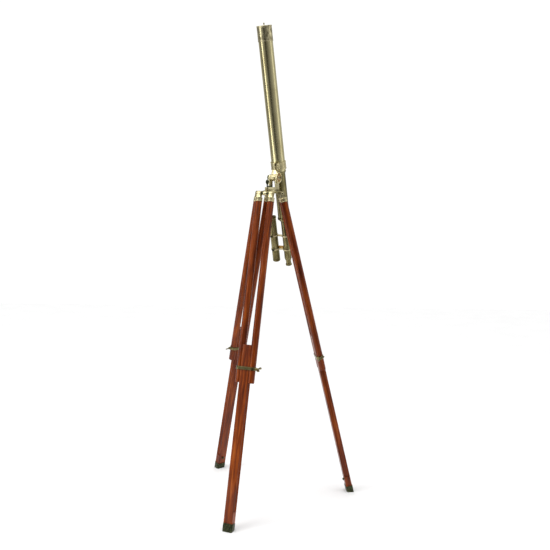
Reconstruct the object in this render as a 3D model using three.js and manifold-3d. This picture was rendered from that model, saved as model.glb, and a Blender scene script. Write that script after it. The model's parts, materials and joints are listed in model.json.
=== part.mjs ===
// A floor-standing brass telescope with a finder, on a split-leg hardwood tripod.
// Millimetres, +Z up. Each piece is one closed solid in its own named mesh.
import * as THREE from 'three';
import { mergeVertices } from 'three/addons/utils/BufferGeometryUtils.js';
import Module from 'manifold-3d';

const wasm = await Module();
wasm.setup();

// ---------------------------------------------------------------- driving sizes

// Clearances
const GAP = 0.3; // between pieces that touch, nest or slide

// Tripod: where the legs hinge and how they stand
const HINGE_HEIGHT = 1350; // leg hinge pins above the floor
const HINGE_RADIUS = 49; // leg hinge pins from the tripod's axis
const LEG_SPREAD = 14; // degrees from vertical
const LEG_AZIMUTHS = { front: 247, rear: 127, side: 7 }; // degrees, from +X towards +Y

// Outer rods and their ferrules
const ROD_RADIUS = 14.5;
const ROD_SPACING = 55; // centre to centre
const ROD_TOP = 36; // shoulder of the rod, below the hinge pin
const ROD_BOTTOM = 797; // lower end of the rod, below the hinge pin
const TENON_RADIUS = 11;
const TENON_LENGTH = 13;
const FERRULE_RADIUS = 15.6;
const FERRULE_TOP = 18; // top of the cup, below the hinge pin
const TONGUE_WIDTH = 20;
const TONGUE_THICKNESS = 16;
const HINGE_PIN_RADIUS = 4;
const HINGE_PIN_HEAD_RADIUS = 5.5;
const HINGE_PIN_HEAD_LENGTH = 4;

// Inner sliding leg and foot
const INNER_WIDTH = 39;
const INNER_DEPTH = 27;
const INNER_TOP = 640; // top of the sliding leg, below the hinge pin
const GROOVE_END = 75; // rod grooves stop this far above the sole
const FOOT_HEIGHT = 30;
const FOOT_WALL = 2;
const FOOT_SOLE = 9;
const PEG_RADIUS = 5;
const PEG_LENGTH = 7;
const PEG_HEIGHT = 62; // peg above the sole, along the leg

// Leg clamp
const CLAMP_DROP = 737; // clamp below the hinge pin
const STRAP_HEIGHT = 13;
const STRAP_WALL = 2;
const CLAMP_BOSS_RADIUS = 6.5;
const CLAMP_BOSS_LENGTH = 5; // threaded boss beyond the strap's end
const WING_SCREW_RADIUS = 3;
const WING_HUB_RADIUS = 5.5;
const WING_HUB_RIM = 5; // hub beyond the root of the wings
const WING_LENGTH = 13;
const WING_SPAN = 34;
const WING_THICKNESS = 4;
const WING_TURNS = { front: 28, rear: 40, side: 24 }; // degrees, how far each wing screw is turned
// degrees about the leg, which way each wing screw points
const CLAMP_FACES = { front: 0, rear: 0, side: 180 };

// Head spider
const BOSS_RADIUS = 25;
const BOSS_HEIGHT = 16;
const LUG_WIDTH = 14;
const LUG_EYE_RADIUS = 9;

// Swivel bracket with its fork
const BRACKET_AZIMUTH = 61; // degrees, the side that the tube hangs on
const PLATE_THICKNESS = 10;
const PLATE_HALF_WIDTH = 18.5;
const KING_BOLT_RADIUS = 7;
const KING_HEAD_RADIUS = 11;
const KING_HEAD_HEIGHT = 6;
const KING_THREAD = 14; // length of the king bolt in the boss
const PAN_LOCK_OFFSET = 25;
const PAN_LOCK_RADIUS = 3;
const PAN_KNOB_RADIUS = 7.6;
const PAN_KNOB_BOTTOM = 37; // above the leg hinges
const PAN_KNOB_TOP = 58;
const FORK_OFFSET = 33; // fork from the tripod's axis
const TILT_HEIGHT = 67; // tilt bolt above the leg hinges
const ARM_INNER = 13.5;
const ARM_THICKNESS = 5;
const ARM_RADIUS = 14;
const TILT_BOLT_RADIUS = 5;
const WHEEL_RADIUS = 23.5;
const WHEEL_THICKNESS = 8;
const WHEEL_RIM = 3.5;
const WHEEL_RECESS = 2.5;
const BACK_NUT_RADIUS = 12;
const BACK_NUT_THICKNESS = 9;

// Telescope tube, measured along its axis from the tilt bolt, eye end negative
const TUBE_LEAN = 14.2; // degrees from vertical
const TUBE_OFFSET = 52; // tube axis from the tilt bolt
const BARREL_RADIUS = 30;
const BARREL_WALL = 1.5;
const BARREL_TOP = 592;
const BARREL_BOTTOM = 18;
const BARREL_STEP = 4; // barrel down to lower barrel, on radius
const LOWER_BARREL_BOTTOM = -190;
const LOWER_BARREL_OVERLAP = 60; // lower barrel's tail inside the upper barrel
const END_RING_RIM = 2; // end ring beyond the lower barrel
const END_RING_LENGTH = 18;
const TAIL_RADIUS = 16;
const TAIL_WALL = 1.6;
const TAIL_BOTTOM = -386;
const TAIL_OVERLAP = 24;
const DRAW_WALL = 1.2;
const DRAW_LENGTH = 120;
const EYEPIECE_RADIUS = 14;
const EYEPIECE_LENGTH = 32;
const EYE_HOLE_RADIUS = 5;
const CAP_ROOM = 12; // from the objective cell to the top of the dust cap
const CAP_SKIRT = 33; // dust cap down over the barrel
const CAP_WALL = 1.0;
const CAP_RIM = 0.6; // rolled rim of the dust cap beyond its skirt
const FINIAL_RADIUS = 3.2;
const FINIAL_HEIGHT = 11;
const CELL_HEIGHT = 18;
const CELL_LIP = 4; // cell's inner ledge, from its bore
const LENS_THICKNESS = 5; // at its edge
const LENS_RISE = 2; // bulge of the crown lens
const RETAINER_HEIGHT = 3;

// Collar that holds the tube
const COLLAR_BOTTOM = 26;
const COLLAR_TOP = 60;
const COLLAR_WALL = 3.5;
const COLLAR_SLOT = 5;
const COLLAR_EAR_THICKNESS = 4;
const COLLAR_EAR_RIM = 6; // ear beyond the middle of its screw
const COLLAR_EAR_ANGLE = 195; // degrees about the tube, 180 faces the tilt bolt
const COLLAR_SCREW_RADIUS = 3;
const COLLAR_KNOB_RADIUS = 12;
const COLLAR_KNOB_THICKNESS = 9;
const EYE_RADIUS = 14;
const SADDLE_DROP = 22;

// Finder
const FINDER_OFFSET = 60; // finder axis from the tube axis
const FINDER_RADIUS = 16;
const FINDER_WALL = 1.4;
const FINDER_TOP = -190;
const FINDER_BOTTOM = -392;
const FINDER_EYE_LENGTH = 14;
const FINDER_EYE_OVERLAP = 12;
const BRACKET_STATIONS = { upper: -279, lower: -343 };
const BRACKET_HEIGHT = 7;
const BRACKET_WALL = 3;
const BRACKET_ARM_WIDTH = 8;
const BRIDGE_BLOCK_LENGTH = 24; // spacer block on the lower bracket, between the tubes
const BRIDGE_BLOCK_HEIGHT = 11;
const FINDER_SCREW_RADIUS = 2;
const FINDER_SCREW_LENGTH = 12;
const FINDER_KNOB_RADIUS = 5;

// Facets round each kind of piece
const SIDES_TUBE = 28;
const SIDES_ROD = 18;
const SIDES_SMALL = 10;
const SIDES_WHEEL = 24;
const SIDES_STRAP_END = 9;

// ---------------------------------------------------------------- materials

const mahogany = (name) => new THREE.MeshStandardMaterial({ name, color: 0xa6623f, roughness: 0.25 });
const brass = (name) =>
  new THREE.MeshStandardMaterial({ name, color: 0xc0b070, roughness: 0.22, metalness: 1 });
const bronze = (name) =>
  new THREE.MeshStandardMaterial({ name, color: 0x4a4a3c, roughness: 0.4, metalness: 0.8 });
const glass = (name) => new THREE.MeshStandardMaterial({ name, color: 0xd8e6e2, roughness: 0.02 });

// ---------------------------------------------------------------- shape helpers

const rad = THREE.MathUtils.degToRad;

// Sides of a polygon bend inwards, so a hole is drawn larger by this factor to clear its shaft.
const holeRadius = (shaftRadius, sides) => (shaftRadius + GAP) / Math.cos(Math.PI / sides);

// The largest shaft that clears a faceted bore drawn at the given radius.
const holeShaft = (bore, sides) => bore * Math.cos(Math.PI / sides) - GAP;

function moved(geometry, x, y, z) {
  return geometry.translate(x, y, z);
}

function solidFrom(geometry) {
  const bare = geometry.clone();
  bare.deleteAttribute('normal');
  bare.deleteAttribute('uv');
  const merged = mergeVertices(bare, 1e-4);
  const vertices = Float32Array.from(merged.attributes.position.array);
  const corners = merged.index.array;
  const faces = [];
  for (let i = 0; i < corners.length; i += 3) {
    const [a, b, c] = [corners[i], corners[i + 1], corners[i + 2]];
    if (a !== b && b !== c && c !== a) {
      faces.push(a, b, c);
    }
  }
  const mesh = new wasm.Mesh({ numProp: 3, vertProperties: vertices, triVerts: Uint32Array.from(faces) });
  return new wasm.Manifold(mesh);
}

function geometryFrom(solid) {
  const mesh = solid.getMesh();
  const geometry = new THREE.BufferGeometry();
  geometry.setAttribute('position', new THREE.BufferAttribute(Float32Array.from(mesh.vertProperties), 3));
  geometry.setIndex(new THREE.BufferAttribute(Uint32Array.from(mesh.triVerts), 1));
  geometry.computeVertexNormals();
  return geometry;
}

function join(...shapes) {
  return geometryFrom(shapes.map(solidFrom).reduce((whole, next) => whole.add(next)));
}

function cut(shape, ...tools) {
  return geometryFrom(tools.map(solidFrom).reduce((whole, tool) => whole.subtract(tool), solidFrom(shape)));
}

// A turned piece about +Z. The outline is [radius, height] pairs, from the bottom up its outside.
function turned(outline, sides) {
  const points = outline.map(([radius, height]) => new THREE.Vector2(radius, height));
  return new THREE.LatheGeometry(points, sides).rotateX(Math.PI / 2);
}

function disc(radius, bottom, top, sides) {
  return turned([[0, bottom], [radius, bottom], [radius, top], [0, top]], sides);
}

function sleeve(inner, outer, bottom, top, sides) {
  return turned([[inner, bottom], [outer, bottom], [outer, top], [inner, top], [inner, bottom]], sides);
}

// A round bar along +Y between two stations.
function crossBar(radius, from, to, sides) {
  return disc(radius, from, to, sides).rotateX(-Math.PI / 2);
}

function block(width, depth, height) {
  return new THREE.BoxGeometry(width, depth, height);
}

// A flat outline in X and Z, given a thickness along Y about the middle.
function plateXZ(outline, thickness) {
  const shape = new THREE.Shape(outline.map(([x, z]) => new THREE.Vector2(x, z)));
  const geometry = new THREE.ExtrudeGeometry(shape, { depth: thickness, bevelEnabled: false });
  return geometry.translate(0, 0, -thickness / 2).rotateX(Math.PI / 2);
}

function arcPoints(x, z, radius, fromDegrees, toDegrees, steps) {
  const points = [];
  for (let i = 0; i <= steps; i += 1) {
    const angle = rad(fromDegrees + ((toDegrees - fromDegrees) * i) / steps);
    points.push([x + radius * Math.cos(angle), z + radius * Math.sin(angle)]);
  }
  return points;
}

function addPart(parent, name, geometry, material) {
  const mesh = new THREE.Mesh(geometry, material(name));
  mesh.name = name;
  parent.add(mesh);
  return mesh;
}

// ---------------------------------------------------------------- tripod legs

// A leg's own frame: the hinge pin at the origin, along Y; +Z up the leg; +X away from the tripod.
const legLength = HINGE_HEIGHT / Math.cos(rad(LEG_SPREAD));
const legPlacement = new THREE.Matrix4()
  .makeTranslation(HINGE_RADIUS, 0, HINGE_HEIGHT)
  .multiply(new THREE.Matrix4().makeRotationY(-rad(LEG_SPREAD)));
const rodY = ROD_SPACING / 2;
const tongueInner = rodY - TONGUE_THICKNESS / 2;
const tongueOuter = rodY + TONGUE_THICKNESS / 2;

function ferrule() {
  const cup = disc(FERRULE_RADIUS, -ROD_TOP, -FERRULE_TOP, SIDES_ROD);
  const tongue = moved(block(TONGUE_WIDTH, TONGUE_THICKNESS, FERRULE_TOP + 1), 0, 0, -(FERRULE_TOP + 1) / 2);
  const eye = crossBar(TONGUE_WIDTH / 2, -TONGUE_THICKNESS / 2, TONGUE_THICKNESS / 2, SIDES_ROD);
  const socketTop = -ROD_TOP + TENON_LENGTH + GAP;
  const socket = disc(holeRadius(TENON_RADIUS, SIDES_ROD), -ROD_TOP - 1, socketTop, SIDES_ROD);
  const pinHole = crossBar(
    holeRadius(HINGE_PIN_RADIUS, SIDES_SMALL), -TONGUE_THICKNESS, TONGUE_THICKNESS, SIDES_SMALL);
  return cut(join(cup, tongue, eye), socket, pinHole);
}

function rod() {
  const shoulder = -ROD_TOP - GAP;
  const outline = [
    [0, -ROD_BOTTOM],
    [ROD_RADIUS, -ROD_BOTTOM],
    [ROD_RADIUS, shoulder],
    [TENON_RADIUS, shoulder],
    [TENON_RADIUS, shoulder + TENON_LENGTH],
    [0, shoulder + TENON_LENGTH],
  ];
  return turned(outline, SIDES_ROD);
}

function hingePin() {
  const inner = tongueOuter + GAP;
  const outer = inner + HINGE_PIN_HEAD_LENGTH;
  const outline = [
    [0, -outer],
    [HINGE_PIN_HEAD_RADIUS, -outer],
    [HINGE_PIN_HEAD_RADIUS, -inner],
    [HINGE_PIN_RADIUS, -inner],
    [HINGE_PIN_RADIUS, inner],
    [HINGE_PIN_HEAD_RADIUS, inner],
    [HINGE_PIN_HEAD_RADIUS, outer],
    [0, outer],
  ];
  return turned(outline, SIDES_SMALL).rotateX(-Math.PI / 2);
}

function slidingLeg() {
  const bottom = -(legLength - FOOT_SOLE);
  const top = -INNER_TOP;
  const bar = moved(block(INNER_DEPTH, INNER_WIDTH, top - bottom), 0, 0, (top + bottom) / 2);
  const groove = (side) => moved(
    disc(holeRadius(ROD_RADIUS, SIDES_ROD), -(legLength - GROOVE_END), top + 1, SIDES_ROD),
    0, side * rodY, 0);
  const pegHole = moved(
    disc(holeRadius(PEG_RADIUS, SIDES_SMALL), 0, PEG_LENGTH, SIDES_SMALL).rotateY(Math.PI / 2),
    -INNER_DEPTH / 2 - 1, 0, -(legLength - PEG_HEIGHT));
  return cut(bar, groove(1), groove(-1), pegHole);
}

function foot() {
  const top = -(legLength - FOOT_HEIGHT);
  const bottom = -(legLength + INNER_DEPTH);
  const depth = INNER_DEPTH + 2 * (FOOT_WALL + GAP);
  const width = INNER_WIDTH + 2 * (FOOT_WALL + GAP);
  const corner = 5;
  const shape = new THREE.Shape();
  shape.moveTo(-depth / 2 + corner, -width / 2);
  shape.lineTo(depth / 2 - corner, -width / 2);
  shape.absarc(depth / 2 - corner, -width / 2 + corner, corner, -Math.PI / 2, 0, false);
  shape.lineTo(depth / 2, width / 2 - corner);
  shape.absarc(depth / 2 - corner, width / 2 - corner, corner, 0, Math.PI / 2, false);
  shape.lineTo(-depth / 2 + corner, width / 2);
  shape.absarc(-depth / 2 + corner, width / 2 - corner, corner, Math.PI / 2, Math.PI, false);
  shape.lineTo(-depth / 2, -width / 2 + corner);
  shape.absarc(-depth / 2 + corner, -width / 2 + corner, corner, Math.PI, 1.5 * Math.PI, false);
  const settings = { depth: top - bottom, bevelEnabled: false, curveSegments: 4 };
  const body = moved(new THREE.ExtrudeGeometry(shape, settings), 0, 0, bottom);
  const pocketFloor = -(legLength - FOOT_SOLE) - GAP;
  const pocketHeight = top - pocketFloor + 1;
  const pocket = moved(
    block(INNER_DEPTH + 2 * GAP, INNER_WIDTH + 2 * GAP, pocketHeight), 0, 0, pocketFloor + pocketHeight / 2);
  const reach = 4 * INNER_WIDTH;
  const underFloor = moved(
    block(reach, reach, reach), HINGE_RADIUS + HINGE_HEIGHT * Math.tan(rad(LEG_SPREAD)), 0, -reach / 2);
  underFloor.applyMatrix4(legPlacement.clone().invert());
  return cut(body, pocket, underFloor);
}

function stopPeg() {
  const start = -INNER_DEPTH / 2 - PEG_LENGTH;
  return moved(
    disc(PEG_RADIUS, 0, 2 * PEG_LENGTH - 1 - 2 * GAP, SIDES_SMALL).rotateY(Math.PI / 2),
    start, 0, -(legLength - PEG_HEIGHT));
}

const strapInner = ROD_RADIUS + GAP;
const strapOuter = strapInner + STRAP_WALL;
const bossFace = rodY + strapOuter + CLAMP_BOSS_LENGTH;

function stadium(radius, height) {
  const shape = new THREE.Shape();
  shape.absarc(0, rodY, radius, 0, Math.PI, false);
  shape.absarc(0, -rodY, radius, Math.PI, 2 * Math.PI, false);
  const settings = { depth: height, bevelEnabled: false, curveSegments: SIDES_STRAP_END };
  return moved(new THREE.ExtrudeGeometry(shape, settings), 0, 0, -height / 2);
}

function clampStrap() {
  const band = cut(stadium(strapOuter, STRAP_HEIGHT), stadium(strapInner, 2 * STRAP_HEIGHT));
  const boss = crossBar(CLAMP_BOSS_RADIUS, rodY + strapInner + STRAP_WALL / 2, bossFace, SIDES_ROD);
  const hole = crossBar(holeRadius(WING_SCREW_RADIUS, SIDES_SMALL), rodY, bossFace + 1, SIDES_SMALL);
  return cut(join(band, boss), hole);
}

function wingScrew(turn) {
  const hubFace = bossFace + GAP;
  const shank = crossBar(WING_SCREW_RADIUS, rodY + ROD_RADIUS + GAP, hubFace + 1, SIDES_SMALL);
  const wingRoot = hubFace + 1;
  const wingTip = wingRoot + WING_LENGTH;
  const hub = crossBar(WING_HUB_RADIUS, hubFace, wingRoot + WING_HUB_RIM, SIDES_SMALL);
  const half = WING_SPAN / 2;
  const shape = new THREE.Shape();
  shape.moveTo(0, wingRoot);
  shape.lineTo(WING_HUB_RADIUS, wingRoot);
  shape.quadraticCurveTo(half, wingRoot + WING_LENGTH / 3, half, wingTip - half / 3);
  shape.quadraticCurveTo(half, wingTip, 2 * half / 3, wingTip);
  shape.quadraticCurveTo(half / 2, wingRoot + WING_LENGTH / 2, 0, wingRoot + WING_LENGTH / 3);
  shape.quadraticCurveTo(-half / 2, wingRoot + WING_LENGTH / 2, -2 * half / 3, wingTip);
  shape.quadraticCurveTo(-half, wingTip, -half, wingTip - half / 3);
  shape.quadraticCurveTo(-half, wingRoot + WING_LENGTH / 3, -WING_HUB_RADIUS, wingRoot);
  const settings = { depth: WING_THICKNESS, bevelEnabled: false, curveSegments: 5 };
  const wings = moved(new THREE.ExtrudeGeometry(shape, settings), 0, 0, -WING_THICKNESS / 2);
  wings.rotateY(rad(turn));
  return join(hub, shank, wings);
}

function addLeg(parent, name, azimuth) {
  const leg = new THREE.Group();
  leg.matrixAutoUpdate = false;
  leg.matrix.copy(new THREE.Matrix4().makeRotationZ(rad(azimuth)).multiply(legPlacement));
  parent.add(leg);
  for (const [side, y] of [['left', -rodY], ['right', rodY]]) {
    addPart(leg, `${name}_rod_${side}`, rod(), mahogany).position.y = y;
    addPart(leg, `${name}_ferrule_${side}`, ferrule(), brass).position.y = y;
  }
  addPart(leg, `${name}_hinge_pin`, hingePin(), bronze);
  addPart(leg, `${name}_sliding_leg`, slidingLeg(), mahogany);
  addPart(leg, `${name}_foot`, foot(), bronze);
  addPart(leg, `${name}_stop_peg`, stopPeg(), bronze);
  const clamp = new THREE.Group();
  clamp.position.z = -CLAMP_DROP;
  clamp.rotation.z = rad(CLAMP_FACES[name]);
  leg.add(clamp);
  addPart(clamp, `${name}_clamp_strap`, clampStrap(), brass);
  addPart(clamp, `${name}_wing_screw`, wingScrew(WING_TURNS[name]), brass);
}

// ---------------------------------------------------------------- head

function headSpider() {
  const eyeLeave = 70;
  const outline = [
    [0, 0],
    [BOSS_RADIUS - 4, 0],
    ...arcPoints(HINGE_RADIUS, 0, LUG_EYE_RADIUS, -90 - eyeLeave / 4, eyeLeave, 10),
    [BOSS_RADIUS + 2, BOSS_HEIGHT - 2],
    [0, BOSS_HEIGHT - 2],
  ];
  const boss = disc(BOSS_RADIUS, 0, BOSS_HEIGHT, SIDES_TUBE);
  const lugs = Object.values(LEG_AZIMUTHS).map((azimuth) => plateXZ(outline, LUG_WIDTH).rotateZ(rad(azimuth)));
  const pinHoles = Object.values(LEG_AZIMUTHS).map((azimuth) => moved(
    crossBar(holeRadius(HINGE_PIN_RADIUS, SIDES_SMALL), -LUG_WIDTH, LUG_WIDTH, SIDES_SMALL),
    HINGE_RADIUS, 0, 0).rotateZ(rad(azimuth)));
  const thread = disc(
    holeRadius(KING_BOLT_RADIUS, SIDES_SMALL), BOSS_HEIGHT - KING_THREAD - GAP, BOSS_HEIGHT + 1, SIDES_SMALL);
  return cut(join(boss, ...lugs), ...pinHoles, thread);
}

const plateBottom = BOSS_HEIGHT + GAP;
const plateTop = plateBottom + PLATE_THICKNESS;
const armOuter = ARM_INNER + ARM_THICKNESS;

function kingBolt() {
  const outline = [
    [0, BOSS_HEIGHT - KING_THREAD],
    [KING_BOLT_RADIUS, BOSS_HEIGHT - KING_THREAD],
    [KING_BOLT_RADIUS, plateTop + GAP],
    [KING_HEAD_RADIUS, plateTop + GAP],
    [KING_HEAD_RADIUS, plateTop + KING_HEAD_HEIGHT / 2],
    [KING_HEAD_RADIUS - 3, plateTop + KING_HEAD_HEIGHT],
    [0, plateTop + KING_HEAD_HEIGHT],
  ];
  return turned(outline, SIDES_SMALL);
}

// Swivel frame: +X towards the fork and tube, tilt bolt along Y.
function swivelBracket() {
  const nose = disc(PLATE_HALF_WIDTH / 2 + 1, plateBottom, plateTop, SIDES_ROD);
  const neck = moved(
    block(PAN_LOCK_OFFSET + FORK_OFFSET, PLATE_HALF_WIDTH + 2, PLATE_THICKNESS),
    (FORK_OFFSET - PAN_LOCK_OFFSET) / 2, 0, (plateBottom + plateTop) / 2);
  const middle = disc(PLATE_HALF_WIDTH, plateBottom, plateTop, SIDES_ROD);
  const base = moved(
    block(2 * ARM_RADIUS, 2 * armOuter, PLATE_THICKNESS), FORK_OFFSET, 0, (plateBottom + plateTop) / 2);
  const armOutline = [
    [FORK_OFFSET - ARM_RADIUS, plateBottom + 1],
    [FORK_OFFSET + ARM_RADIUS, plateBottom + 1],
    ...arcPoints(FORK_OFFSET, TILT_HEIGHT, ARM_RADIUS, 0, 180, 10),
  ];
  const arm = (side) => moved(plateXZ(armOutline, ARM_THICKNESS), 0, side * (ARM_INNER + ARM_THICKNESS / 2), 0);
  const kingHole = disc(holeRadius(KING_BOLT_RADIUS, SIDES_SMALL), 0, plateTop + 1, SIDES_SMALL);
  const lockHole = moved(
    disc(holeRadius(PAN_LOCK_RADIUS, SIDES_SMALL), 0, plateTop + 1, SIDES_SMALL), -PAN_LOCK_OFFSET, 0, 0);
  const tiltHole = moved(
    crossBar(holeRadius(TILT_BOLT_RADIUS, SIDES_SMALL), -2 * armOuter, 2 * armOuter, SIDES_SMALL),
    FORK_OFFSET, 0, TILT_HEIGHT);
  const body = join(moved(nose, -PAN_LOCK_OFFSET, 0, 0), neck, middle, base, arm(1), arm(-1));
  return cut(body, kingHole, lockHole, tiltHole);
}

function panLock() {
  const waist = (PAN_KNOB_BOTTOM + PAN_KNOB_TOP) / 2;
  const outline = [
    [0, plateBottom + GAP],
    [PAN_LOCK_RADIUS, plateBottom + GAP],
    [PAN_LOCK_RADIUS, PAN_KNOB_BOTTOM - 2],
    [PAN_KNOB_RADIUS * 0.6, PAN_KNOB_BOTTOM],
    [PAN_KNOB_RADIUS, waist - 3],
    [PAN_KNOB_RADIUS, waist + 2],
    [PAN_KNOB_RADIUS * 0.7, PAN_KNOB_TOP - 3],
    [0, PAN_KNOB_TOP],
  ];
  return turned(outline, SIDES_SMALL);
}

const wheelInnerFace = armOuter + GAP;
const wheelOuterFace = wheelInnerFace + WHEEL_THICKNESS;

function tiltBolt() {
  const wheelEnd = -(wheelOuterFace - WHEEL_RECESS);
  return crossBar(TILT_BOLT_RADIUS, wheelEnd, armOuter + GAP + BACK_NUT_THICKNESS + 2, SIDES_SMALL);
}

// The wheel's recessed face looks along -Y.
function tiltWheel() {
  const bore = holeRadius(TILT_BOLT_RADIUS, SIDES_SMALL);
  const outline = [
    [bore, wheelInnerFace],
    [WHEEL_RADIUS - 1, wheelInnerFace],
    [WHEEL_RADIUS, wheelInnerFace + 1],
    [WHEEL_RADIUS, wheelOuterFace - 1],
    [WHEEL_RADIUS - 1, wheelOuterFace],
    [WHEEL_RADIUS - WHEEL_RIM, wheelOuterFace],
    [WHEEL_RADIUS - WHEEL_RIM - 1, wheelOuterFace - WHEEL_RECESS],
    [bore, wheelOuterFace - WHEEL_RECESS],
    [bore, wheelInnerFace],
  ];
  return turned(outline, SIDES_WHEEL).rotateX(Math.PI / 2);
}

function backNut() {
  const near = armOuter + GAP;
  const far = near + BACK_NUT_THICKNESS;
  const bore = crossBar(holeRadius(TILT_BOLT_RADIUS, SIDES_SMALL), near - 1, far + 1, SIDES_SMALL);
  return cut(crossBar(BACK_NUT_RADIUS, near, far, 6), bore);
}

// ---------------------------------------------------------------- telescope tube

const barrelBore = BARREL_RADIUS - BARREL_WALL;
const lowerRadius = BARREL_RADIUS - BARREL_STEP;

function mainBarrel() {
  return sleeve(barrelBore, BARREL_RADIUS, BARREL_BOTTOM, BARREL_TOP, SIDES_TUBE);
}

function lowerBarrel() {
  const top = BARREL_BOTTOM + LOWER_BARREL_OVERLAP;
  const plug = holeShaft(barrelBore, SIDES_TUBE);
  const inner = lowerRadius - BARREL_WALL;
  const outline = [
    [inner, LOWER_BARREL_BOTTOM],
    [lowerRadius, LOWER_BARREL_BOTTOM],
    [lowerRadius, BARREL_BOTTOM - 4 - BARREL_STEP],
    [BARREL_RADIUS, BARREL_BOTTOM - 4],
    [BARREL_RADIUS, BARREL_BOTTOM - GAP],
    [plug, BARREL_BOTTOM - GAP],
    [plug, top],
    [inner, top],
    [inner, LOWER_BARREL_BOTTOM],
  ];
  return turned(outline, SIDES_TUBE);
}

const tailTop = LOWER_BARREL_BOTTOM + TAIL_OVERLAP;

function endRing() {
  const bottom = LOWER_BARREL_BOTTOM - END_RING_LENGTH;
  const bore = holeRadius(TAIL_RADIUS, SIDES_TUBE);
  const plug = holeShaft(lowerRadius - BARREL_WALL, SIDES_TUBE);
  const ringRadius = lowerRadius + END_RING_RIM;
  const outline = [
    [bore, bottom],
    [ringRadius - 6, bottom],
    [ringRadius, bottom + 6],
    [ringRadius, LOWER_BARREL_BOTTOM - GAP],
    [plug, LOWER_BARREL_BOTTOM - GAP],
    [plug, tailTop],
    [bore, tailTop],
    [bore, bottom],
  ];
  return turned(outline, SIDES_TUBE);
}

const tailBore = TAIL_RADIUS - TAIL_WALL;
const drawRadius = holeShaft(tailBore, SIDES_TUBE);
const drawBottom = TAIL_BOTTOM - 2;

function tailTube() {
  return sleeve(tailBore, TAIL_RADIUS, TAIL_BOTTOM, tailTop, SIDES_TUBE);
}

function drawTube() {
  return sleeve(drawRadius - DRAW_WALL, drawRadius, drawBottom, drawBottom + DRAW_LENGTH, SIDES_TUBE);
}

const drawBore = drawRadius - DRAW_WALL;
const eyepiecePlug = holeShaft(drawBore, SIDES_TUBE);
const eyepieceBore = eyepiecePlug - 2.5;
const eyepieceBottom = drawBottom - EYEPIECE_LENGTH;

function eyepieceBody() {
  const shoulder = drawBottom - GAP;
  const outline = [
    [EYE_HOLE_RADIUS, eyepieceBottom + 2],
    [EYE_HOLE_RADIUS + 4, eyepieceBottom],
    [EYEPIECE_RADIUS - 2, eyepieceBottom],
    [EYEPIECE_RADIUS, eyepieceBottom + 2],
    [EYEPIECE_RADIUS, eyepieceBottom + 8],
    [EYEPIECE_RADIUS - 2, eyepieceBottom + 11],
    [EYEPIECE_RADIUS - 2, shoulder - 5],
    [EYEPIECE_RADIUS, shoulder - 3],
    [EYEPIECE_RADIUS, shoulder],
    [eyepiecePlug, shoulder],
    [eyepiecePlug, shoulder + 12],
    [eyepieceBore, shoulder + 12],
    [eyepieceBore, eyepieceBottom + 5],
    [EYE_HOLE_RADIUS, eyepieceBottom + 5],
    [EYE_HOLE_RADIUS, eyepieceBottom + 2],
  ];
  return turned(outline, SIDES_ROD);
}

// A plano-convex lens with its bulge along +Z when rise is positive.
function lens(radius, base, edge, rise, sides) {
  const outline = [[0, base], [radius, base], [radius, base + edge]];
  for (let step = 1; step <= 3; step += 1) {
    const across = 1 - step / 3;
    outline.push([radius * across, base + edge + rise * (1 - across * across)]);
  }
  return turned(outline, sides);
}

// The cell caps the barrel's mouth and holds the objective pair on an inner ledge.
const cellTop = BARREL_TOP + CELL_HEIGHT;
const cellBore = barrelBore - 2;
const ledge = BARREL_TOP - 8;

function objectiveCell() {
  const plug = holeShaft(barrelBore, SIDES_TUBE);
  const outline = [
    [cellBore - CELL_LIP, ledge - 4],
    [plug, ledge - 4],
    [plug, BARREL_TOP + GAP],
    [BARREL_RADIUS, BARREL_TOP + GAP],
    [BARREL_RADIUS, cellTop - 1],
    [BARREL_RADIUS - 1, cellTop],
    [cellBore, cellTop],
    [cellBore, ledge],
    [cellBore - CELL_LIP, ledge],
    [cellBore - CELL_LIP, ledge - 4],
  ];
  return turned(outline, SIDES_TUBE);
}

const lensRadius = holeShaft(cellBore, SIDES_TUBE);
const flintBase = ledge + GAP;
const crownBase = flintBase + LENS_THICKNESS + GAP;
const retainerBase = crownBase + LENS_THICKNESS + LENS_RISE / 2 + GAP;

function retainingRing() {
  return sleeve(lensRadius - 2.5, lensRadius, retainerBase, retainerBase + RETAINER_HEIGHT, SIDES_TUBE);
}

function dustCap() {
  const bore = holeRadius(BARREL_RADIUS, SIDES_TUBE);
  const skirt = bore + CAP_WALL;
  const top = cellTop + CAP_ROOM;
  const bottom = BARREL_TOP - CAP_SKIRT;
  const outline = [
    [bore, bottom],
    [skirt + CAP_RIM, bottom],
    [skirt + CAP_RIM, bottom + 4],
    [skirt, bottom + 4 + CAP_RIM],
    [skirt, top - 1.5],
    [skirt - 1.5, top],
    [FINIAL_RADIUS, top],
    [FINIAL_RADIUS * 0.6, top + 3],
    [FINIAL_RADIUS, top + 6],
    [FINIAL_RADIUS * 0.7, top + FINIAL_HEIGHT - 1.5],
    [0, top + FINIAL_HEIGHT],
    [0, top - CAP_WALL * 2],
    [bore, top - CAP_WALL * 2],
    [bore, bottom],
  ];
  return turned(outline, SIDES_TUBE);
}

// ---------------------------------------------------------------- collar

const collarBore = holeRadius(BARREL_RADIUS, SIDES_TUBE);
const collarOuter = collarBore + COLLAR_WALL;
const collarMiddle = (COLLAR_BOTTOM + COLLAR_TOP) / 2;
const collarScrewReach = collarOuter + COLLAR_KNOB_RADIUS + GAP;
const earLength = collarScrewReach + COLLAR_EAR_RIM - collarBore - 1;
const earsThickness = COLLAR_SLOT + 2 * COLLAR_EAR_THICKNESS;

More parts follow.
